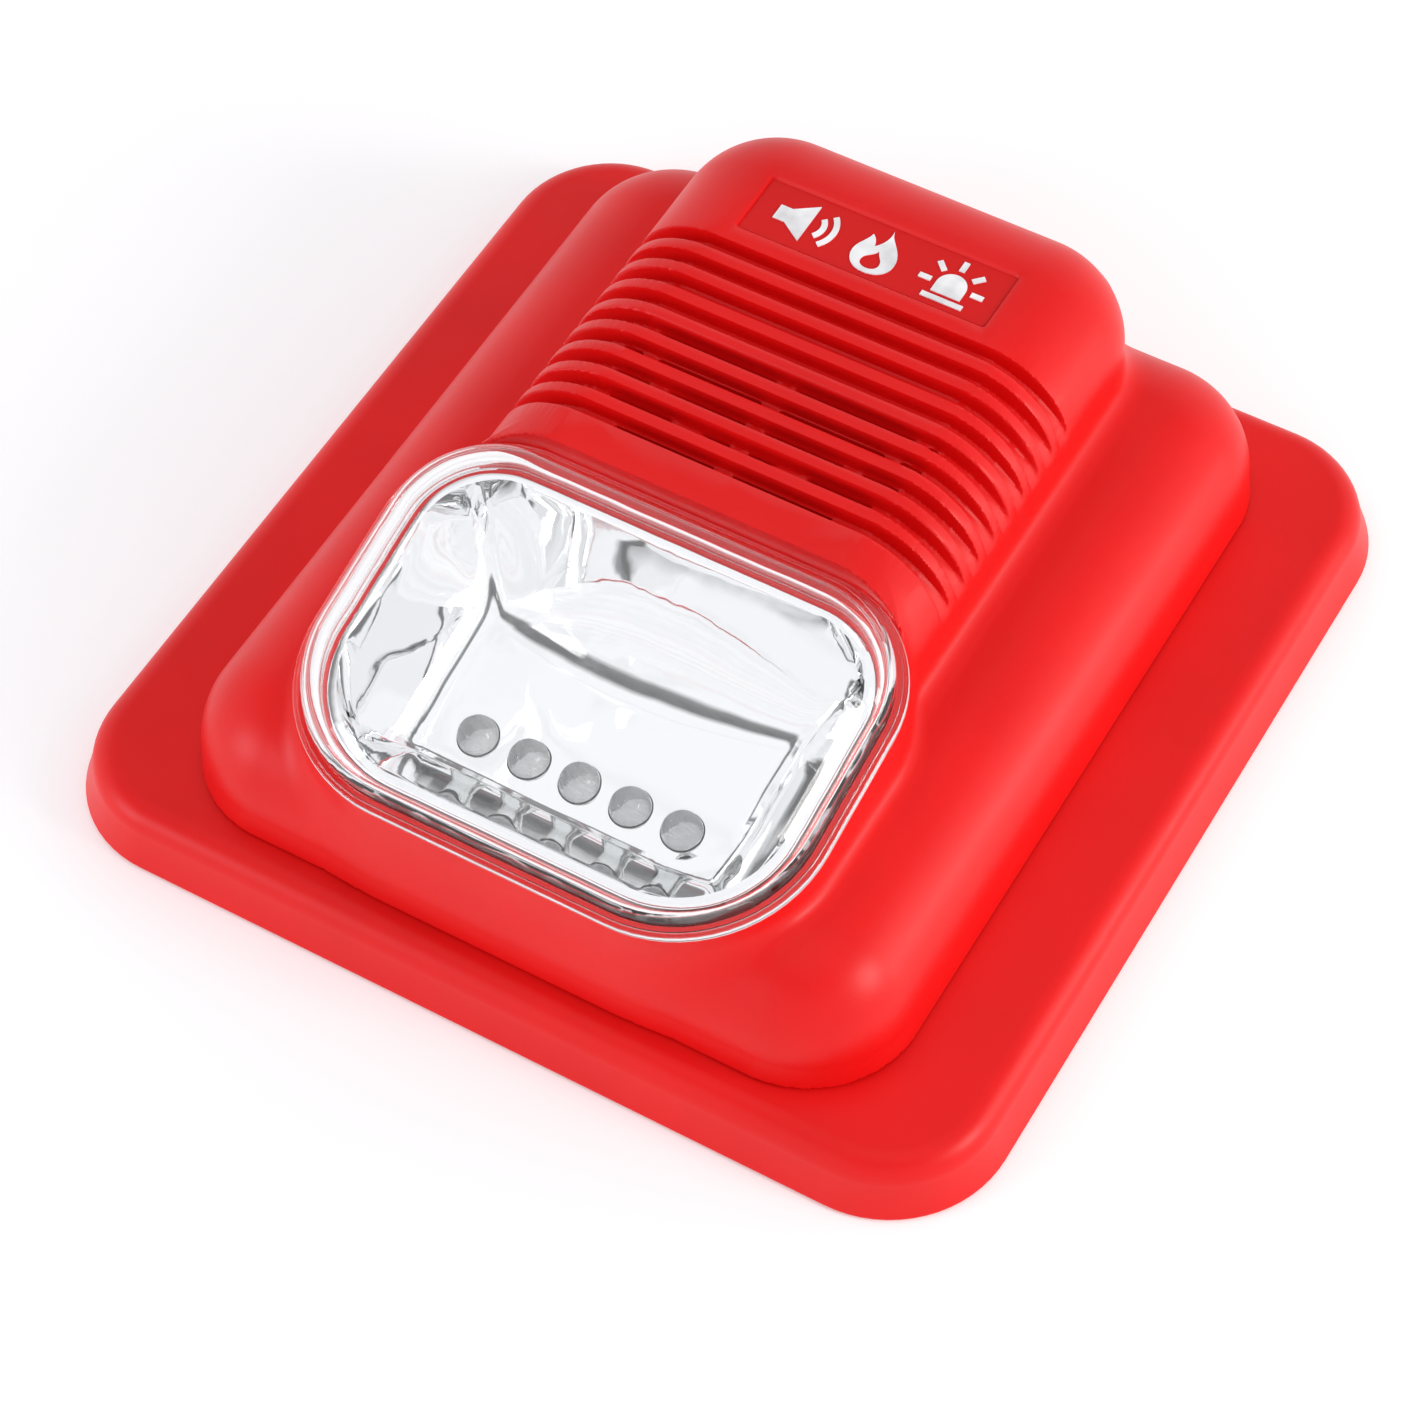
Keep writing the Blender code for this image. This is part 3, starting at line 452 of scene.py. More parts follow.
def housing_distance(x, y, z):
    """The housing: tier, hump and lens pad, less the cavity and every opening."""
    tier = shoulder_block(x, y, z, TIER, TIER_TOP, TIER_SHOULDER, TIER_DRAFT)
    hump = shoulder_block(x, y, z, HUMP, HUMP_TOP, HUMP_SHOULDER, HUMP_DRAFT)
    seat_y = (y - SEAT.y) * cos(TILT) + (z - SEAT.z) * sin(TILT)
    seat_z = (z - SEAT.z) * cos(TILT) - (y - SEAT.y) * sin(TILT)
    pad = np.maximum(lens_distance(x, (y - SEAT.y) / cos(TILT), PAD_INSET), seat_z)
    outer = smooth_min(smooth_min(tier, hump, TIER_BLEND), pad, PAD_BLEND)
    step = np.maximum(lens_distance(x, seat_y, -GAP), -seat_z)
    outer = smooth_max(outer, -step, EDGE_BLEND)
    inner = shoulder_block(x, y, z, TIER, TIER_TOP, TIER_SHOULDER, TIER_DRAFT, WALL)
    drop = CROWN - WALL
    hollow = shoulder_block(x, y, z + drop, HUMP, HUMP_TOP, HUMP_SHOULDER, HUMP_DRAFT, WALL)
    backing = np.maximum(lens_distance(x, seat_y, -GAP - WALL), -seat_z - WALL)
    cavity = np.maximum(smooth_min(inner, hollow, CAVITY_BLEND), -backing)
    body = np.maximum(outer, -cavity)
    window = np.maximum(lens_distance(x, seat_y, WINDOW_INSET), np.abs(seat_z - WINDOW_MIDDLE) - WINDOW_REACH)
    body = smooth_max(body, -window, EDGE_BLEND)
    for spot in SCREW_SPOTS:
        shaft = np.hypot(x - spot.x, y - spot.y)
        boss = np.maximum.reduce([shaft - BOSS_RADIUS, BOSS_LOW - z, z - BOSS_HIGH])
        bore = np.maximum.reduce([shaft - BOSS_BORE, BORE_LOW - z, z - BORE_HIGH])
        body = np.maximum(smooth_min(body, boss, BOSS_BLEND), -bore)
    shaft = np.hypot(np.abs(x) - PEG_XY[0], np.abs(y) - PEG_XY[1])
    socket = np.maximum.reduce([shaft - SOCKET_RADIUS, FOOT + SOCKET_LIFT - z, z - SOCKET_HIGH])
    body = smooth_min(body, socket, BOSS_BLEND)
    body = np.maximum(body, -np.maximum.reduce([shaft - PEG_RADIUS - GAP, z - SOCKET_BORE_HIGH]))
    body = smooth_max(body, -groove_distance(x, y, z), GROOVE_BLEND)
    body = np.maximum(body, -slot_distance(x, y, z))
    recess = (LABEL_HALF[0], -LABEL_HALF[1], LABEL_HALF[1], 0.4, 0.4)
    label = np.maximum(rectangle_distance(x, y - LABEL_Y, recess), HUMP_TOP - LABEL_DEPTH - z)
    body = smooth_max(body, -label, LABEL_BLEND)
    return np.maximum(body, FOOT - z)


def gradient(distance, points, reach):
    """The slope of a distance at each point, from points this far to both sides."""
    parts = []
    for axis in range(3):
        step = np.zeros(3)
        step[axis] = reach
        parts.append(distance(*(points + step).T) - distance(*(points - step).T))
    return np.stack(parts, axis=1) / (2 * reach)


def surface_net(distance, low, high, cell, name):
    """Meshes distance == 0 inside a box: one vertex in each cell that the surface crosses."""
    axes = [np.arange(a - 2 * cell, b + 3 * cell, cell) for a, b in zip(low, high)]
    field = np.empty([len(axis) for axis in axes])
    for i, x in enumerate(axes[0]):
        y, z = np.meshgrid(axes[1], axes[2], indexing="ij")
        field[i] = distance(np.full_like(y, x), y, z)
    inside = field < 0
    size = [n - 1 for n in field.shape]
    corners = [(i, j, k) for i in (0, 1) for j in (0, 1) for k in (0, 1)]

    def corner(array, offset):
        i, j, k = offset
        return array[i : i + size[0], j : j + size[1], k : k + size[2]]

    count = sum(corner(inside, offset).astype(np.int8) for offset in corners)
    active = (count > 0) & (count < 8)
    cells = np.argwhere(active)
    number = np.full(size, -1)
    number[active] = np.arange(len(cells))
    values = np.stack([corner(field, offset)[active] for offset in corners], axis=1)
    total, hits = np.zeros((len(cells), 3)), np.zeros(len(cells))
    for a, first in enumerate(corners):
        for b, second in enumerate(corners):
            if b <= a or sum(abs(p - q) for p, q in zip(first, second)) != 1:
                continue
            crossed = (values[:, a] < 0) != (values[:, b] < 0)
            share = np.where(crossed, values[:, a] / np.where(crossed, values[:, a] - values[:, b], 1), 0)
            spot = np.array(first) + share[:, None] * (np.array(second) - np.array(first))
            total += np.where(crossed[:, None], spot, 0)
            hits += crossed
    origin = np.array([axis[0] for axis in axes])
    points = origin + (cells + total / hits[:, None]) * cell
    for _ in range(3):
        slope = gradient(distance, points, 0.05 * cell)
        length = np.maximum((slope**2).sum(axis=1), 0.3)
        move = slope * (distance(*points.T) / length)[:, None]
        points -= np.clip(move, -0.3 * cell, 0.3 * cell)
    quads = []
    for axis in range(3):
        u, v = (axis + 1) % 3, (axis + 2) % 3
        near = [slice(None)] * 3
        far = [slice(None)] * 3
        near[axis], far[axis] = slice(None, -1), slice(1, None)
        change = inside[tuple(near)].astype(np.int8) - inside[tuple(far)]
        edges = np.argwhere(change != 0)
        sign = change[tuple(edges.T)]
        around = []
        for du, dv in ((-1, -1), (0, -1), (0, 0), (-1, 0)):
            cellward = edges.copy()
            cellward[:, u] += du
            cellward[:, v] += dv
            around.append(number[tuple(cellward.T)])
        quad = np.stack(around, axis=1)
        quads.append(np.where(sign[:, None] > 0, quad, quad[:, ::-1]))
    quads = np.concatenate(quads)
    mesh = bpy.data.meshes.new(name)
    mesh.vertices.add(len(points))
    mesh.vertices.foreach_set("co", (points * MM).astype(np.float32).ravel())
    mesh.loops.add(quads.size)
    mesh.loops.foreach_set("vertex_index", quads.astype(np.int32).ravel())
    mesh.polygons.add(len(quads))
    mesh.polygons.foreach_set("loop_start", np.arange(0, quads.size, 4, dtype=np.int32))
    mesh.update(calc_edges=True)
    mesh.validate()
    return mesh


def lighter(obj, ratio):
    """Drops triangles where the surface is nearly flat."""
    modifier = obj.modifiers.new("lighter", "DECIMATE")
    modifier.ratio = ratio
    graph = bpy.context.evaluated_depsgraph_get()
    mesh = bpy.data.meshes.new_from_object(obj.evaluated_get(graph))
    obj.modifiers.remove(modifier)
    obj.data = mesh
    smooth(mesh, 40)


def make_housing():
    cell, kept = ((0.35, 0.3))
    mesh = surface_net(housing_distance, HOUSING_LOW, HOUSING_HIGH, cell, "housing_shell")
    shell = link("housing_shell", mesh, "red_housing", "front_unit", replaces=("front_housing",), sharp=0)
    lighter(shell, kept)


# --- plate -------------------------------------------------------------


def boolean(obj, builder, operation="DIFFERENCE"):
    """Cuts or joins a builder's shape at once, and keeps only the result."""
    other = bpy.data.objects.new("other", from_bmesh(builder, "other"))
    bpy.context.scene.collection.objects.link(other)
    modifier = obj.modifiers.new("boolean", "BOOLEAN")
    modifier.operation = operation
    modifier.object = other
    bpy.context.view_layer.update()
    graph = bpy.context.evaluated_depsgraph_get()
    obj.data = bpy.data.meshes.new_from_object(obj.evaluated_get(graph))
    obj.modifiers.clear()
    bpy.data.objects.remove(other)


def moved(builder, x, y, z=0.0):
    builder.transform(Matrix.Translation((x, y, z)))
    return builder


def make_plate():
    plan = (PLATE_HALF[0], -PLATE_HALF[1], PLATE_HALF[1], PLATE_CORNER, PLATE_CORNER)
    under = PLATE_TOP - PLATE_SKIN
    rings = [(inset(plan, PLATE_RIM + PLATE_DRAFT), under), (inset(plan, PLATE_RIM), 0.3)]
    rings += [(inset(plan, PLATE_RIM - 0.3), 0.0), (inset(plan, 0.4), 0.0)]
    rings += [(inset(plan, 0.08), 0.12), (inset(plan, 0.0), 0.4)]
    steps = 10
    for step in range(steps + 1):
        turn = pi / 2 * step / steps
        by = PLATE_DRAFT + PLATE_EDGE * (1 - cos(turn))
        rings.append((inset(plan, by), PLATE_TOP - PLATE_EDGE * (1 - sin(turn))))
    plate = link("back_plate_moulding", loft(rings), "red_plate", "back_plate", replaces=("base_plate",))
    foot = PLATE_TOP + 0.8
    peg = [(0, under + 1), (2.8, under + 1), (2.8, foot), (PEG_RADIUS, foot)]
    peg += [(PEG_RADIUS, PEG_HIGH - 0.8), (PEG_RADIUS - 0.8, PEG_HIGH), (0, PEG_HIGH)]
    x, y = PEG_XY
    for spot in ((x, y), (-x, y), (x, -y), (-x, -y)):
        boolean(plate, moved(turned(peg, 32), *spot), "UNION")
    low, high = -1.0, PLATE_TOP + 1
    boolean(plate, extruded(outline(*CABLE_ENTRY, 8), low, high))
    x, y = SCREW_XY
    for spot in ((x, y), (-x, y), (x, -y), (-x, -y)):
        boolean(plate, moved(extruded(outline(*SCREW_SLOT, 8), low, high), *spot))
        boolean(plate, moved(extruded(outline(*SLOT_DISH, 8), PLATE_TOP - DISH_DEPTH, high), *spot))
    smooth(plate.data, 30)


# --- lens, bowl and lamps, in the seat's sloping frame -----------------

SEAT_FRAME = Matrix.Translation(SEAT) @ Matrix.Rotation(TILT, 4, "X")


def lens_outline(by=0.0, steps=16):
    return inset((LENS_HALF[0], -LENS_HALF[1], LENS_HALF[1], *LENS_CORNERS), by, steps)


def make_lens():
    low = GAP
    flange_top = low + FLANGE
    top = flange_top + DOME_HEIGHT
    rim = top - DOME_RISE
    root = 0.35
    outer = [(lens_outline(0.25), low), (lens_outline(0.06), low + 0.08), (lens_outline(), low + 0.25)]
    outer += [(lens_outline(), flange_top - 0.3), (lens_outline(0.09), flange_top - 0.09)]
    outer.append((lens_outline(0.3), flange_top))
    for step in range(5):
        turn = pi / 2 * step / 4
        by = FLANGE_WIDTH - root * (1 - sin(turn))
        outer.append((lens_outline(by), flange_top + root * (1 - cos(turn))))
    inner = []
    foot, edge = FLANGE_WIDTH + DOME_DRAFT, DOME_EDGE - LENS_WALL
    steps = 12
    for step in range(steps + 1):
        turn = pi / 2 * step / steps
        outer.append((lens_outline(foot + DOME_EDGE * (1 - cos(turn))), rim - DOME_EDGE * (1 - sin(turn))))
        by = foot + LENS_WALL + edge * (1 - cos(turn))
        inner.append((lens_outline(by), rim - LENS_WALL - edge * (1 - sin(turn))))
    for share in (0.25, 0.5, 0.75, 0.93):
        rise = DOME_RISE * (1 - (1 - share) ** 2)
        outer.append((crown(foot + DOME_EDGE, share), rim + rise))
        inner.append((crown(foot + DOME_EDGE, share), rim - LENS_WALL + rise))
    lens = loft(inner[::-1] + [(lens_outline(FLANGE_WIDTH + LENS_WALL), low)] + outer)
    lens.transform(SEAT_FRAME)
    link("lens_moulding", lens, "clear_lens", "front_unit", replaces=("strobe_lens",), sharp=50)


def crown(by, share):
    """The top face's outline, shrunk towards its centre."""
    return [(x * (1 - share), y * (1 - share)) for x, y in lens_outline(by)]


BOWL_RIM, BOWL_WALL, BOWL_DEPTH = 1.0, 0.9, 12.0
MOUTH = WINDOW_INSET + 2.0
SHELF = (20.0, -11.2, 3.3)  # half width, front edge, and rear edge in the middle
BOWL_SCOOP = 0.0076  # how fast the back wall's foot goes back away from the middle
BOWL_CURVES = (1.9, 1.5, 1.3)  # exponents of the back, end and front walls
BOWL_SHARPNESS = 1.7  # of the creases between the walls


def even_outline(by, count=176):
    """The lens's outline, inset, as evenly spaced points."""
    points = [Vector(point) for point in lens_outline(by)]
    lengths = [(b - a).length for a, b in zip(points, points[1:] + points[:1])]
    whole = sum(lengths)
    made = []
    start, leg = 0.0, 0
    for number in range(count):
        along = whole * number / count
        while along > start + lengths[leg]:
            start += lengths[leg]
            leg += 1
        share = (along - start) / lengths[leg]
        made.append(points[leg].lerp(points[(leg + 1) % len(points)], share))
    return made


def bowl_height(x, y):
    """A trough: a curved back wall, sloping ends, a short front wall and a flat shelf."""
    half_x, front, rear = LENS_HALF[0] - MOUTH, -LENS_HALF[1] + MOUTH, LENS_HALF[1] - MOUTH
    rise = BOWL_DEPTH + 0.6 * BOWL_RIM
    foot = SHELF[2] + BOWL_SCOOP * x**2
    back = max(y - foot, 0) / (rear - foot)
    end = max(abs(x) - SHELF[0], 0) / (half_x - SHELF[0])
    lip = max(SHELF[1] - y, 0) / (SHELF[1] - front)
    walls = [rise * share**curve for share, curve in zip((back, end, lip), BOWL_CURVES)]
    together = sum(np.exp(BOWL_SHARPNESS * wall) for wall in walls) - len(walls) + 1
    return min(np.log(together) / BOWL_SHARPNESS, rise) - BOWL_DEPTH


def bowl_surface(by, drop, rings=44):
    """Rings of points from the mouth in to the middle of the shelf."""
    mouth = even_outline(by)
    middle = Vector((0.0, (SHELF[1] + SHELF[2]) / 2))
    rows = []
    for ring in range(rings):
        share = (ring / rings) ** 0.9
        points = [point.lerp(middle, share) for point in mouth]
        rows.append([(point.x, point.y, bowl_height(point.x, point.y) - drop) for point in points])
    return rows


def make_bowl():
    inside = bowl_surface(MOUTH, 0.0)
    outside = bowl_surface(MOUTH - BOWL_WALL, BOWL_WALL)[::-1]
    outside = [row for row in outside if row[0][2] < 0.2 - BOWL_WALL or row is outside[-1]]
    collar = WINDOW_INSET + GAP
    rows = outside
    for by, z in ((collar, 0.0), (collar, 0.7), (collar + 0.3, 1.0), (WINDOW_INSET + 1.7, 1.0)):
        rows.append([(point.x, point.y, z) for point in even_outline(by)])
    made = bmesh.new()
    add_skin(made, rows + inside)
    bowl = link("mirror_bowl", made, "mirror_plating", "front_unit", replaces=("reflector",))
    hole = [(0, -20), (LAMP_HOLE, -20), (LAMP_HOLE, -2), (0, -2)]
    for x in LAMP_XS:
        boolean(bowl, moved(turned(hole, 32), x, LAMP_Y))
    bowl.data.transform(Matrix.Scale(MM, 4) @ SEAT_FRAME @ Matrix.Scale(1 / MM, 4))
    smooth(bowl.data, 40)


LAMP_XS = [(i - 2) * 6.9 for i in range(5)]
LAMP_Y, LAMP_TIP, LAMP_LENGTH, LAMP_RADIUS, LAMP_HOLE = -7.0, -9.4, 8.6, 2.5, 2.62


def make_lamps():
    base = LAMP_TIP - LAMP_LENGTH
    body = [(0, base), (2.8, base), (2.9, base + 0.1), (2.9, base + 0.9), (2.8, base + 1.0)]
    body.append((LAMP_RADIUS, base + 1.0))
    for step in range(13):
        turn = pi / 2 * step / 12
        body.append((LAMP_RADIUS * cos(turn) if step < 12 else 0, LAMP_TIP - LAMP_RADIUS * (1 - sin(turn))))
    cup = [(0, base + 3.9), (1.3, base + 3.9), (1.95, base + 5.8), (1.75, base + 5.8)]
    cup += [(1.1, base + 4.4), (0, base + 4.4)]
    thin, thick = outline(0.25, -0.25, 0.25, 0.05, 0.05, 2), outline(0.4, -0.3, 0.3, 0.05, 0.05, 2)
    for number, x in enumerate(LAMP_XS, 1):
        place = SEAT_FRAME @ Matrix.Translation((x, LAMP_Y, 0))
        lamp = turned(body, 32)
        lamp.transform(place)
        link(f"lamp_body_{number}", lamp, "lamp_epoxy", "front_unit", replaces=(f"led_{number}",), sharp=40)
        post = turned(cup, 24)
        post.transform(place)
        link(f"lamp_cup_{number}", post, "screw_steel", "front_unit")
        for letter, across, top in (("a", -0.5, 3.35), ("b", 1.2, 4.3)):
            leg = loft([(thin, base + 0.2), (thick, base + top)])
            leg.transform(place @ Matrix.Translation((across, 0, 0)))
            link(f"lamp_leg_{number}_{letter}", leg, "screw_steel", "front_unit")


# --- pictogram in the label recess: horn, flame and lamp ---------------

SIGN_SCALE, SIGN_LOW, SIGN_HIGH = 1.15, HUMP_TOP - LABEL_DEPTH + 0.08, HUMP_TOP - LABEL_DEPTH + 0.24
HORN_SIGN_X, LAMP_SIGN_X = -10.4, 10.4


def on_label(points, x):
    """A sign's points, drawn round its own middle, at their place and size on the label."""
    return [(x + SIGN_SCALE * across, LABEL_Y + SIGN_SCALE * along) for across, along in points]


def printed(name, loops, x):
    """A white sign from closed loops of points."""
    made = bmesh.new()
    for points in loops:
        face = made.faces.new([made.verts.new((*point, SIGN_LOW)) for point in on_label(points, x)])
        for part in bmesh.ops.extrude_face_region(made, geom=[face])["geom"]:
            if isinstance(part, bmesh.types.BMVert):
                part.co.z = SIGN_HIGH
    return link(name, made, "red_housing", "front_unit", PRINT_WHITE)


def band(centre, radius, width, start, end, steps=14):
    """A curved stroke."""
    outer = arc(centre, radius + width / 2, start, end, steps)
    return outer + arc(centre, radius - width / 2, end, start, steps)


def bezier(points, steps=10):
    """A closed smooth outline through cubic legs: each leg is start, two handles and end."""
    made = []
    for a, b, c, d in points:
        for step in range(steps):
            t = step / steps
            weights = ((1 - t) ** 3, 3 * t * (1 - t) ** 2, 3 * t**2 * (1 - t), t**3)
            made.append(tuple(sum(w * p[k] for w, p in zip(weights, (a, b, c, d))) for k in (0, 1)))
    return made


def make_pictogram():
    recess = outline(LABEL_HALF[0] - 0.25, -LABEL_HALF[1] + 0.25, LABEL_HALF[1] - 0.25, 0.5, 0.5, 4)
    insert = moved(extruded(recess, HUMP_TOP - LABEL_DEPTH - 0.1, SIGN_LOW), 0, LABEL_Y)
    link("label_insert", insert, "red_housing", "front_unit", LABEL_RED)
    flame = bezier([
        ((0.3, 3.3), (0.6, 1.9), (2.5, 1.1), (2.5, -1.0)),
        ((2.5, -1.0), (2.5, -2.4), (1.4, -3.2), (0.0, -3.2)),
        ((0.0, -3.2), (-1.5, -3.2), (-2.5, -2.2), (-2.5, -0.9)),
        ((-2.5, -0.9), (-2.5, 0.3), (-1.7, 0.8), (-1.5, 2.0)),
        ((-1.5, 2.0), (-0.9, 1.6), (-0.7, 1.0), (-0.6, 0.5)),
        ((-0.6, 0.5), (0.1, 1.2), (0.5, 2.2), (0.3, 3.3)),
    ])
    core = bezier([
        ((0.2, 0.1), (0.4, -0.6), (1.1, -0.9), (1.1, -1.7)),
        ((1.1, -1.7), (1.1, -2.3), (0.6, -2.6), (0.0, -2.6)),
        ((0.0, -2.6), (-0.7, -2.6), (-1.1, -2.2), (-1.1, -1.6)),
        ((-1.1, -1.6), (-1.1, -0.9), (-0.2, -0.7), (0.2, 0.1)),
    ])
    sign = printed("pictogram_flame", [flame], 0.0)
    boolean(sign, extruded(on_label(core, 0.0), SIGN_LOW - 1, SIGN_HIGH + 1))
    horn = [[(-3.0, -1.0), (-1.6, -1.0), (0.9, -2.7), (0.9, 2.7), (-1.6, 1.0), (-3.0, 1.0)]]
    horn += [band((0.6, 0.0), radius, 0.65, -42, 42) for radius in (1.9, 3.2)]
    printed("pictogram_horn", horn, HORN_SIGN_X)
    centre = Vector((0.0, -0.6))
    lamp = [[(-1.7, -2.0), (1.7, -2.0)] + arc(centre, 1.7, 0, 180, 18)]
    lamp.append([(-2.4, -3.1), (2.4, -3.1), (2.4, -2.45), (-2.4, -2.45)])
    for angle in (0, 45, 90, 135, 180):
        turn = radians(angle)
        along, side = Vector((cos(turn), sin(turn))), Vector((-sin(turn), cos(turn))) * 0.32
        start, end = centre + along * 2.35, centre + along * 3.75
        lamp.append([start - side, end - side, end + side, start + side])
    printed("pictogram_lamp", lamp, LAMP_SIGN_X)


# --- electronics and terminals, which show when the front unit is off ----

# Points (x, y) of the copper tracks on the main board's underside, in mm
TRACK_ROUTES = (
    ((-20, 44), (-20, 20), (-17, 17), (-17, 12)),
    ((-12, 46), (-12, 33), (-15, 30)),
    ((-6, 46), (-6, 22), (-10, 18), (-10, 13)),
    ((6, 46), (6, 20), (11, 15), (11, 11)),
    ((12, 46), (12, 33), (15, 30)),
    ((20, 44), (20, 31), (17, 28)),
    ((-4, 1), (-4, 8), (-10, 8)),
    ((4, 1), (4, 13), (10, 13)),
    ((-24, 6), (-20, 6), (-18, 8)),
    ((24, 6), (20, 6), (18, 8)),
)
TRACK_HALF = 0.3
# Each small part's place, and whether it lies along Y
SMALL_PARTS = (
    (-6, 14, False), (-6, 17, False), (7, 6, True), (9, 20, True), (-19, 13, True),
    (20, 16, False), (-3, 4, False), (3, 26, True), (-4, 30, False),
)


def node_box(name):
    """A CAD node's lowest corner, highest corner and middle, in mm."""
    low, high = (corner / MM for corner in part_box(name))
    return low, high, (low + high) / 2


def chamfered(half_x, half_y, low, high, edge=0.3, corner=0.4):
    """An upright block with small chamfers at both ends."""
    full = outline(half_x, -half_y, half_y, corner, corner, 3)
    small = inset((half_x, -half_y, half_y, corner, corner), edge, 3)
    return loft([(small, low), (full, low + edge), (full, high - edge), (small, high)])


def eased(node, body, slot, width):
    """A CAD node's own shape with its edges rounded over."""
    made = bmesh.new()
    made.from_mesh(frame["nodes"][node].data)
    made.transform(Matrix.Scale(1 / MM, 4))
    piece = link(f"{node}_eased", made, slot, body, replaces=(node,))
    modifier = piece.modifiers.new("edges", "BEVEL")
    modifier.width = width * MM
    modifier.segments = 2
    modifier.limit_method = "ANGLE"
    modifier.angle_limit = radians(40)
    graph = bpy.context.evaluated_depsgraph_get()
    piece.data = bpy.data.meshes.new_from_object(piece.evaluated_get(graph))
    piece.modifiers.clear()
    smooth(piece.data, 35)


def cut_cross(obj, rings, middle, turn=0.0):
    """Cuts a cross of two lofted bars, turned by this many degrees."""
    for across in (0, 90):
        cut = loft(rings)
        cut.transform(Matrix.Rotation(radians(across + turn), 4, "Z"))
        boolean(obj, moved(cut, middle.x, middle.y))


def make_capacitor():
    low, high, middle = node_box("storage_capacitor")
    end, top, radius = low.z, high.z, high.x - middle.x
    sleeve = [(0, end + 0.5), (radius - 0.9, end + 0.5), (radius - 0.85, end + 0.12)]
    sleeve += [(radius - 0.5, end), (radius - 0.15, end + 0.1), (radius, end + 0.45)]
    sleeve += [(radius, top - 2.3), (radius - 0.3, top - 1.9), (radius - 0.3, top - 1.5)]
    sleeve += [(radius, top - 1.1), (radius, top - 0.2), (radius - 0.3, top), (0, top)]
    can = moved(turned(sleeve), middle.x, middle.y)
    link("capacitor_body", can, "capacitor_sleeve", "front_unit", replaces=("storage_capacitor",))
    edge = radius - 0.95
    disc = turned([(0, end + 0.2), (edge, end + 0.2), (edge, end + 0.48), (0, end + 0.48)])
    vent = link("capacitor_vent", moved(disc, middle.x, middle.y), "screw_steel", "front_unit")
    score = outline(2.4, -0.15, 0.15, 0.1, 0.1, 2)
    cut_cross(vent, [(score, end), (score, end + 0.35)], middle)
    stripe = arc((0, 0), radius + 0.04, -22, 22, 10) + arc((0, 0), radius - 0.1, 22, -22, 10)
    stripe = moved(extruded(stripe, end + 0.9, top - 2.4), middle.x, middle.y)
    link("capacitor_stripe", stripe, "capacitor_sleeve", "front_unit", PRINT_WHITE)


def make_coil():
    low, high, middle = node_box("boost_coil")
    end, top, radius = low.z, high.z, high.x - middle.x
    waist, cheek = 0.72 * radius, 1.1
    bobbin = [(0, end), (radius - 0.3, end), (radius, end + 0.3), (radius, end + cheek)]
    bobbin += [(waist - 0.4, end + cheek + 0.1), (waist - 0.4, top - cheek - 0.1), (radius, top - cheek)]
    bobbin += [(radius, top - 0.3), (radius - 0.3, top), (0, top)]
    core = moved(turned(bobbin), middle.x, middle.y)
    link("coil_bobbin", core, "black_plastic", "front_unit", replaces=("boost_coil",))
    turns, wire = 14, 0.23
    pitch = (top - end - 2 * cheek - 0.3) / turns
    winding = [(waist - 0.35, end + cheek + 0.12)]
    for turn in range(turns):
        winding += arc((waist, end + cheek + 0.15 + pitch * (turn + 0.5)), wire, -75, 75, 6)
    winding.append((waist - 0.35, top - cheek - 0.12))
    copper = moved(turned(winding), middle.x, middle.y)
    link("coil_winding", copper, "copper_winding", "front_unit", sharp=60)


# A chip leg's section: (distance out from the chip's middle, drop below the board)
LEG_SECTION = (
    (1.9, 1.0), (2.5, 1.0), (2.65, 0.85), (2.85, 0.12), (3.3, 0.12),
    (3.3, -0.05), (2.72, -0.05), (2.45, 0.8), (1.9, 0.8),
)
LEG_PITCH, LEG_HALF = 1.9, 0.2


def make_chips():
    low, high, middle = node_box("control_chip")
    half_x = high.x - middle.x
    body = moved(chamfered(half_x, 2.0, low.z, high.z - 0.15, 0.25, 0.2), middle.x, middle.y)
    chip = link("chip_body", body, "black_plastic", "front_unit", replaces=("control_chip",))
    dimple = turned([(0, low.z - 1), (0.4, low.z - 1), (0.4, low.z + 0.12), (0, low.z + 0.12)], 20)
    boolean(chip, moved(dimple, middle.x - half_x + 0.9, middle.y - 1.2))
    legs = bmesh.new()
    for side in (-1, 1):
        for number in range(4):
            x = middle.x + (number - 1.5) * LEG_PITCH
            add_skin(legs, [
                [(x + half, middle.y + side * out, high.z - drop) for out, drop in LEG_SECTION]
                for half in (-LEG_HALF, LEG_HALF)
            ])
    link("chip_legs", legs, "screw_steel", "front_unit", SOLDER)
    low, high, middle = node_box("driver_transistor")
    half_x, half_y = high.x - middle.x, high.y - middle.y
    body = chamfered(half_x, half_y - 0.5, low.z, high.z, 0.35, 0.3)
    body = moved(body, middle.x, middle.y - 0.5)
    link("transistor_body", body, "black_plastic", "front_unit", replaces=("driver_transistor",))
    tab = moved(chamfered(half_x, 0.45, low.z + 0.2, high.z, 0.15, 0.2), middle.x, high.y - 0.45)
    link("transistor_tab", tab, "screw_steel", "front_unit")


def make_tracks(low):
    tracks = bmesh.new()
    for route in TRACK_ROUTES:
        for a, b in zip(route, route[1:]):
            start, end = Vector(a), Vector(b)
            along = (end - start).normalized()
            side = Vector((-along.y, along.x)) * TRACK_HALF
            corners = [start - side, end - side, end + side, start + side]
            add_skin(tracks, [[(*corner, z) for corner in corners] for z in (low - 0.06, low + 0.05)])
    link("board_tracks", tracks, "circuit_board", "front_unit", TRACK_GREEN)


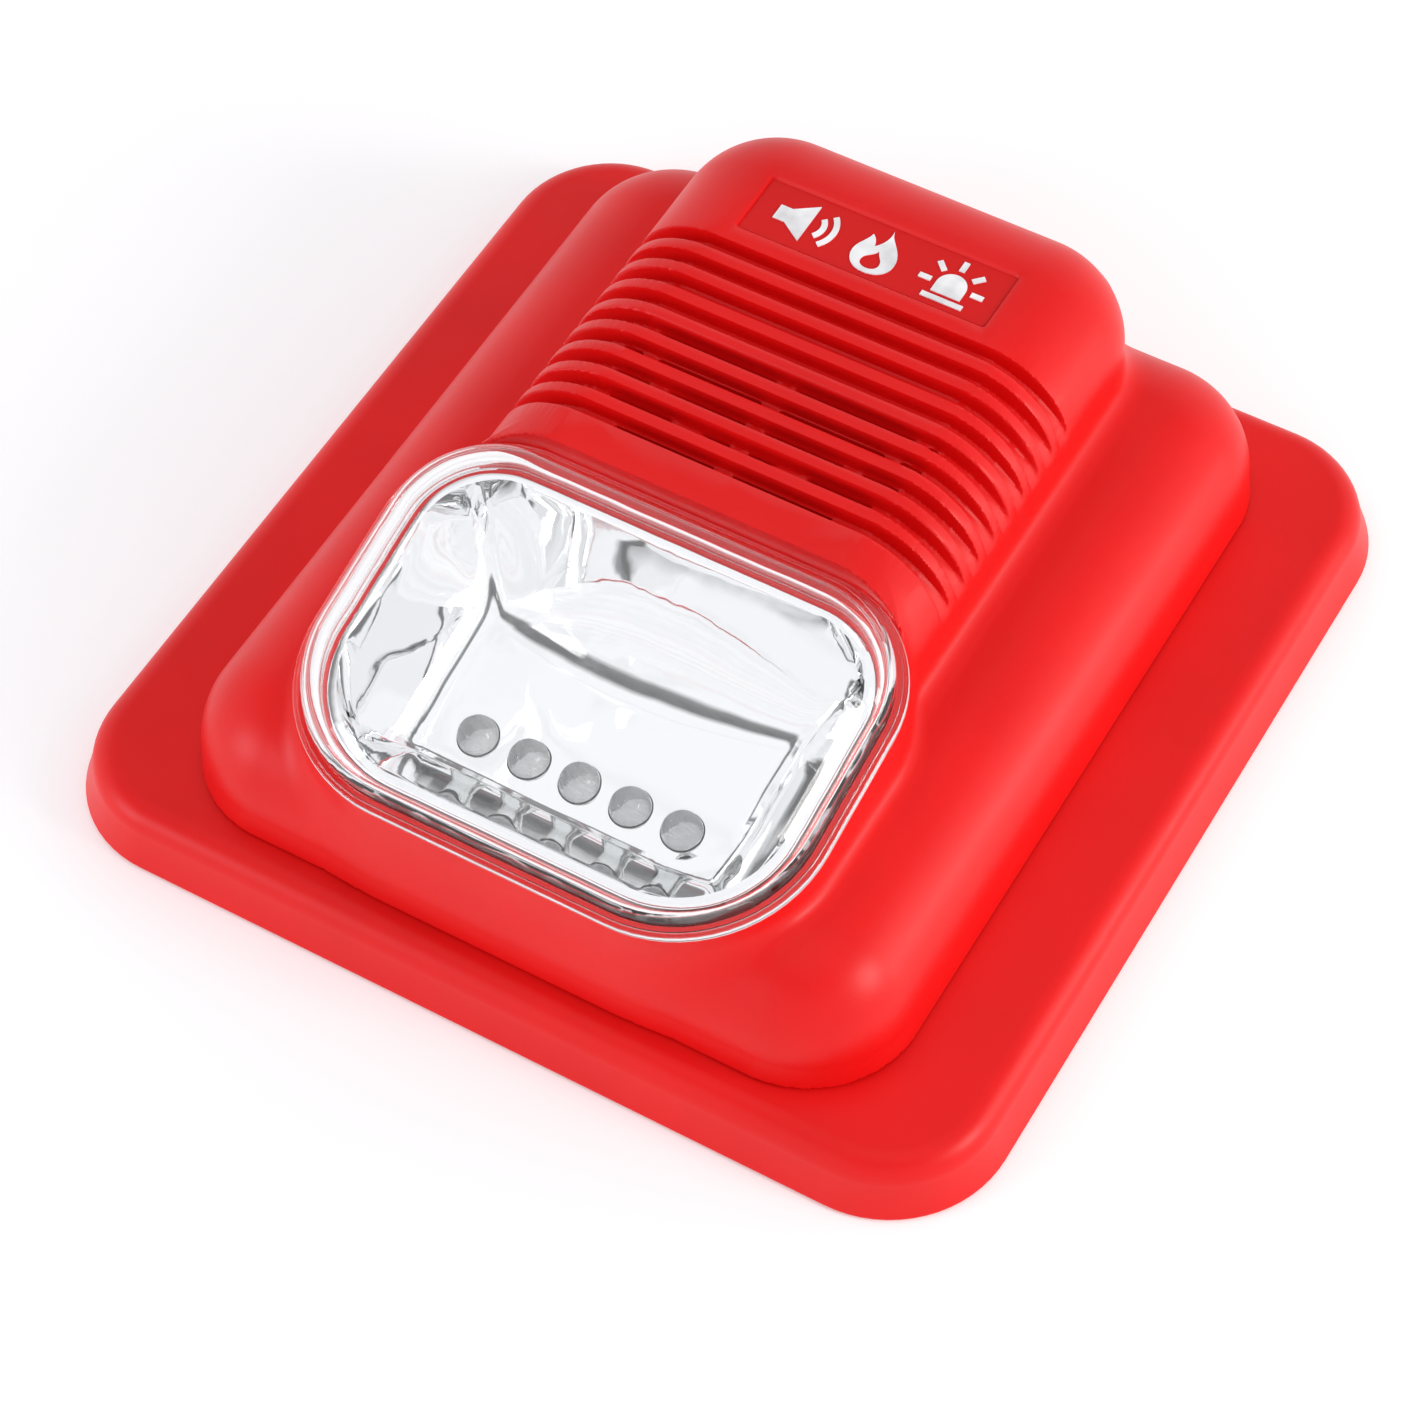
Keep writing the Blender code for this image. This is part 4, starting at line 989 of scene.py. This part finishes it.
def make_solder_joints(low):
    cone = [(0, low - 0.55), (0.35, low - 0.5), (0.55, low - 0.25)]
    cone += [(0.85, low - 0.08), (0.85, low + 0.05), (0, low + 0.05)]
    joints = bmesh.new()
    for route in TRACK_ROUTES:
        for x, y in (route[0], route[-1]):
            joint = moved(turned(cone, 20), x, y)
            mesh = bpy.data.meshes.new("joint")
            joint.to_mesh(mesh)
            joint.free()
            joints.from_mesh(mesh)
            bpy.data.meshes.remove(mesh)
    link("solder_joints", joints, "screw_steel", "front_unit", SOLDER, sharp=60)


def make_board_details():
    low = node_box("main_board")[0].z
    eased("main_board", "front_unit", "circuit_board", 0.12)
    eased("strobe_board", "front_unit", "circuit_board", 0.12)
    make_tracks(low)
    make_solder_joints(low)
    for number, (x, y, along_y) in enumerate(SMALL_PARTS, 1):
        turn = Matrix.Translation((x, y, 0)) @ Matrix.Rotation(radians(90 * along_y), 4, "Z")
        body = chamfered(0.75, 0.55, low - 0.75, low - 0.02, 0.08, 0.1)
        body.transform(turn)
        look = CERAMIC if along_y else None
        link(f"small_part_{number}", body, "black_plastic", "front_unit", look)
        for letter, side in (("a", -1), ("b", 1)):
            end = chamfered(0.28, 0.6, low - 0.8, low + 0.02, 0.08, 0.1)
            end.transform(turn @ Matrix.Translation((side * 0.85, 0, 0)))
            link(f"small_part_{number}_end_{letter}", end, "screw_steel", "front_unit", SOLDER)


def make_board_screws():
    for number in range(1, 5):
        node = f"board_screw_{number}"
        low, high, middle = node_box(node)
        radius, head = high.x - middle.x, low.z + 1.6
        shape = [(0, low.z), (0.55 * radius, low.z + 0.05), (0.85 * radius, low.z + 0.3)]
        shape += [(radius, low.z + 0.8), (radius, head - 0.1), (radius - 0.1, head)]
        shape += [(1.1, head), (1.1, high.z - 1), (0, high.z)]
        shape = moved(turned(shape, 40), middle.x, middle.y)
        screw = link(f"screw_{number}", shape, "screw_steel", "front_unit", replaces=(node,))
        mouth, tip = outline(1.15, -0.22, 0.22, 0.1, 0.1, 2), outline(0.7, -0.12, 0.12, 0.05, 0.05, 2)
        cut_cross(screw, [(mouth, low.z - 1), (tip, low.z + 0.95)], middle, 25 * number)
        smooth(screw.data, 35)


def make_horn_driver():
    for node in ("sounder_cup", "sounder_ring"):
        eased(node, "front_unit", "black_plastic", 0.2)
    low, high, middle = node_box("piezo_disc")
    ceramic = turned([(0, 0), (11.5, 0), (11.6, 0.06), (11.6, 0.2), (0, 0.2)], 64)
    ceramic = moved(ceramic, middle.x, middle.y, low.z - 0.19)
    link("piezo_ceramic", ceramic, "brass", "horn_disc", CERAMIC)
    silver = turned([(0, 0), (10.4, 0), (10.4, 0.1), (0, 0.1)], 64)
    link("piezo_electrode", moved(silver, middle.x, middle.y, low.z - 0.22), "brass", "horn_disc", SOLDER)


def make_clamp_screw(number, body, bottom, top, pole):
    rise, radius = top.z - bottom.z, top.x - pole.x
    shape = [(0, 0), (radius - 0.2, 0), (radius, 0.2), (radius, rise - 0.35)]
    shape = turned(shape + [(radius - 0.35, rise), (0, rise)], 40)
    replaced = (f"terminal_screw_{number}",)
    screw = link(f"clamp_screw_{number}", shape, "screw_steel", body, replaces=replaced)
    boolean(screw, extruded(outline(0.35, -3, 3, 0.02, 0.02, 2), rise - 0.9, rise + 1))
    screw.data.transform(Matrix.Translation(Vector((pole.x, pole.y, bottom.z)) * MM))
    smooth(screw.data, 35)


def make_terminals():
    low, high, middle = node_box("terminal_block")
    half_x, half_y = high.x - middle.x, high.y - middle.y
    block = moved(chamfered(half_x, half_y, low.z, high.z, 0.4, 0.6), middle.x, middle.y)
    block = link("terminal_moulding", block, "terminal_green", "back_plate", replaces=("terminal_block",))
    for number, body in ((1, "terminal_screw_left"), (2, "terminal_screw_right")):
        bottom, top, pole = node_box(f"terminal_screw_{number}")
        well = [(0, bottom.z - 0.3), (2.6, bottom.z - 0.3), (2.6, high.z - 0.4)]
        well += [(3.0, high.z), (3.0, high.z + 1), (0, high.z + 1)]
        boolean(block, moved(turned(well, 40), pole.x, pole.y))
        mouth = extruded(outline(2.3, -1.6, 1.6, 0.5, 0.5, 4), -0.6, 1.0)
        throat = extruded(outline(2.0, -1.3, 1.3, 0.4, 0.4, 4), -9.0, 1.0)
        entry = Matrix.Translation((pole.x, low.y, low.z + 2.6)) @ Matrix.Rotation(radians(90), 4, "X")
        for cut in (mouth, throat):
            cut.transform(entry)
            boolean(block, cut)
        make_clamp_screw(number, body, bottom, top, pole)
    for x in (-half_x, 0, half_x):
        score = extruded(outline(0.3, -9, 9, 0.1, 0.1, 2), high.z - 0.7, high.z + 1)
        boolean(block, moved(score, x, middle.y))
    smooth(block.data, 30)
    for number in (1, 2):
        eased(f"contact_clip_{number}", "back_plate", "brass", 0.18)


# --- finishes of the pieces that stay as the CAD made them -------------


def finish_cad_nodes():
    slots = {entry["node"]: entry["material_slot"] for entry in frame["record"]["subparts"]}
    for name, obj in frame["nodes"].items():
        obj.data.materials.clear()
        obj.data.materials.append(LOOKS[slots[name]])
        smooth(obj.data, 35)


# --- studio ------------------------------------------------------------

CAMERA_PLACE = Vector((0.1570, -0.2596, 0.4072))
CAMERA_TURN, CAMERA_RISE, CAMERA_ROLL = radians(32.056), radians(53.942), radians(-2.404)
LENS_MM = 105.0

LIGHT_TARGET = Vector((0, 0, 0.02))
FLOOR_GAP = 0.0002
WARM, COOL = (1.0, 0.97, 0.93), (0.85, 0.9, 1.0)
# The studio's brightness by height: 0 is the horizon and all below it, 1 is straight above.
# The dark band is what the mirrored bowl and the lens show as grey streaks.
STUDIO_GREYS = ((0.0, 1.0), (0.66, 1.0), (0.72, 0.2), (0.82, 0.15), (0.87, 1.0), (1.0, 1.0))


def make_camera():
    level = cos(CAMERA_RISE)
    back = Vector((sin(CAMERA_TURN) * level, -cos(CAMERA_TURN) * level, sin(CAMERA_RISE)))
    right = (-back).cross(Vector((0, 0, 1))).normalized()
    up = right.cross(-back)
    across = right * cos(CAMERA_ROLL) + up * sin(CAMERA_ROLL)
    above = up * cos(CAMERA_ROLL) - right * sin(CAMERA_ROLL)
    data = bpy.data.cameras.new("camera")
    data.lens = LENS_MM
    data.sensor_width = 36.0
    data.clip_start = 0.01
    camera = bpy.data.objects.new("camera", data)
    bpy.context.scene.collection.objects.link(camera)
    turn = Matrix((across, above, back)).transposed().to_4x4()
    camera.matrix_world = Matrix.Translation(CAMERA_PLACE) @ turn
    bpy.context.scene.camera = camera


def area_light(name, place, size, power, colour):
    """A soft box that faces the object's middle; places and sizes in metres, power in watts."""
    data = bpy.data.lights.new(name, "AREA")
    data.color = colour
    data.shape = "RECTANGLE"
    data.size, data.size_y = size
    data.energy = power
    light = bpy.data.objects.new(name, data)
    bpy.context.scene.collection.objects.link(light)
    light.location = place
    light.rotation_euler = (LIGHT_TARGET - Vector(place)).to_track_quat("-Z", "Y").to_euler()


def make_studio():
    floor = bpy.data.meshes.new("floor")
    made = bmesh.new()
    bmesh.ops.create_grid(made, x_segments=1, y_segments=1, size=3.0)
    made.to_mesh(floor)
    made.free()
    look = Look("floor", (0.93, 0.93, 0.93), 0.6, Emission_Color=(1, 1, 1, 1), Emission_Strength=0.14)
    look.roughness_from(look.noise(8), 0.55, 0.65)
    floor.materials.append(look.material)
    sheet = bpy.data.objects.new("floor", floor)
    sheet.location = (0, 0, -FLOOR_GAP)
    bpy.context.scene.collection.objects.link(sheet)
    world = bpy.data.worlds.new("studio")
    world.use_nodes = True
    nodes, links = world.node_tree.nodes, world.node_tree.links
    place = nodes.new("ShaderNodeTexCoord")
    split = nodes.new("ShaderNodeSeparateXYZ")
    ramp = nodes.new("ShaderNodeValToRGB")
    fill_ramp(ramp.color_ramp, [(height, (grey, grey, 1.02 * grey)) for height, grey in STUDIO_GREYS])
    links.new(place.outputs["Generated"], split.inputs["Vector"])
    links.new(split.outputs["Z"], ramp.inputs["Fac"])
    links.new(ramp.outputs["Color"], nodes["Background"].inputs["Color"])
    bpy.context.scene.world = world
    area_light("key_box", (0.45, 0.03, 0.24), (0.15, 0.15), 0.95, WARM)
    area_light("side_box", (0.4, 0.2, 0.07), (0.08, 0.08), 0.22, WARM)
    area_light("front_left_box", (-0.39, -0.45, 0.2), (0.22, 0.22), 0.9, COOL)
    bpy.context.scene.view_settings.view_transform = "Standard"


make_camera()
make_studio()
finish_cad_nodes()
make_housing()
make_plate()
make_lens()
make_bowl()
make_lamps()
make_pictogram()
make_capacitor()
make_coil()
make_chips()
make_board_details()
make_board_screws()
make_horn_driver()
make_terminals()
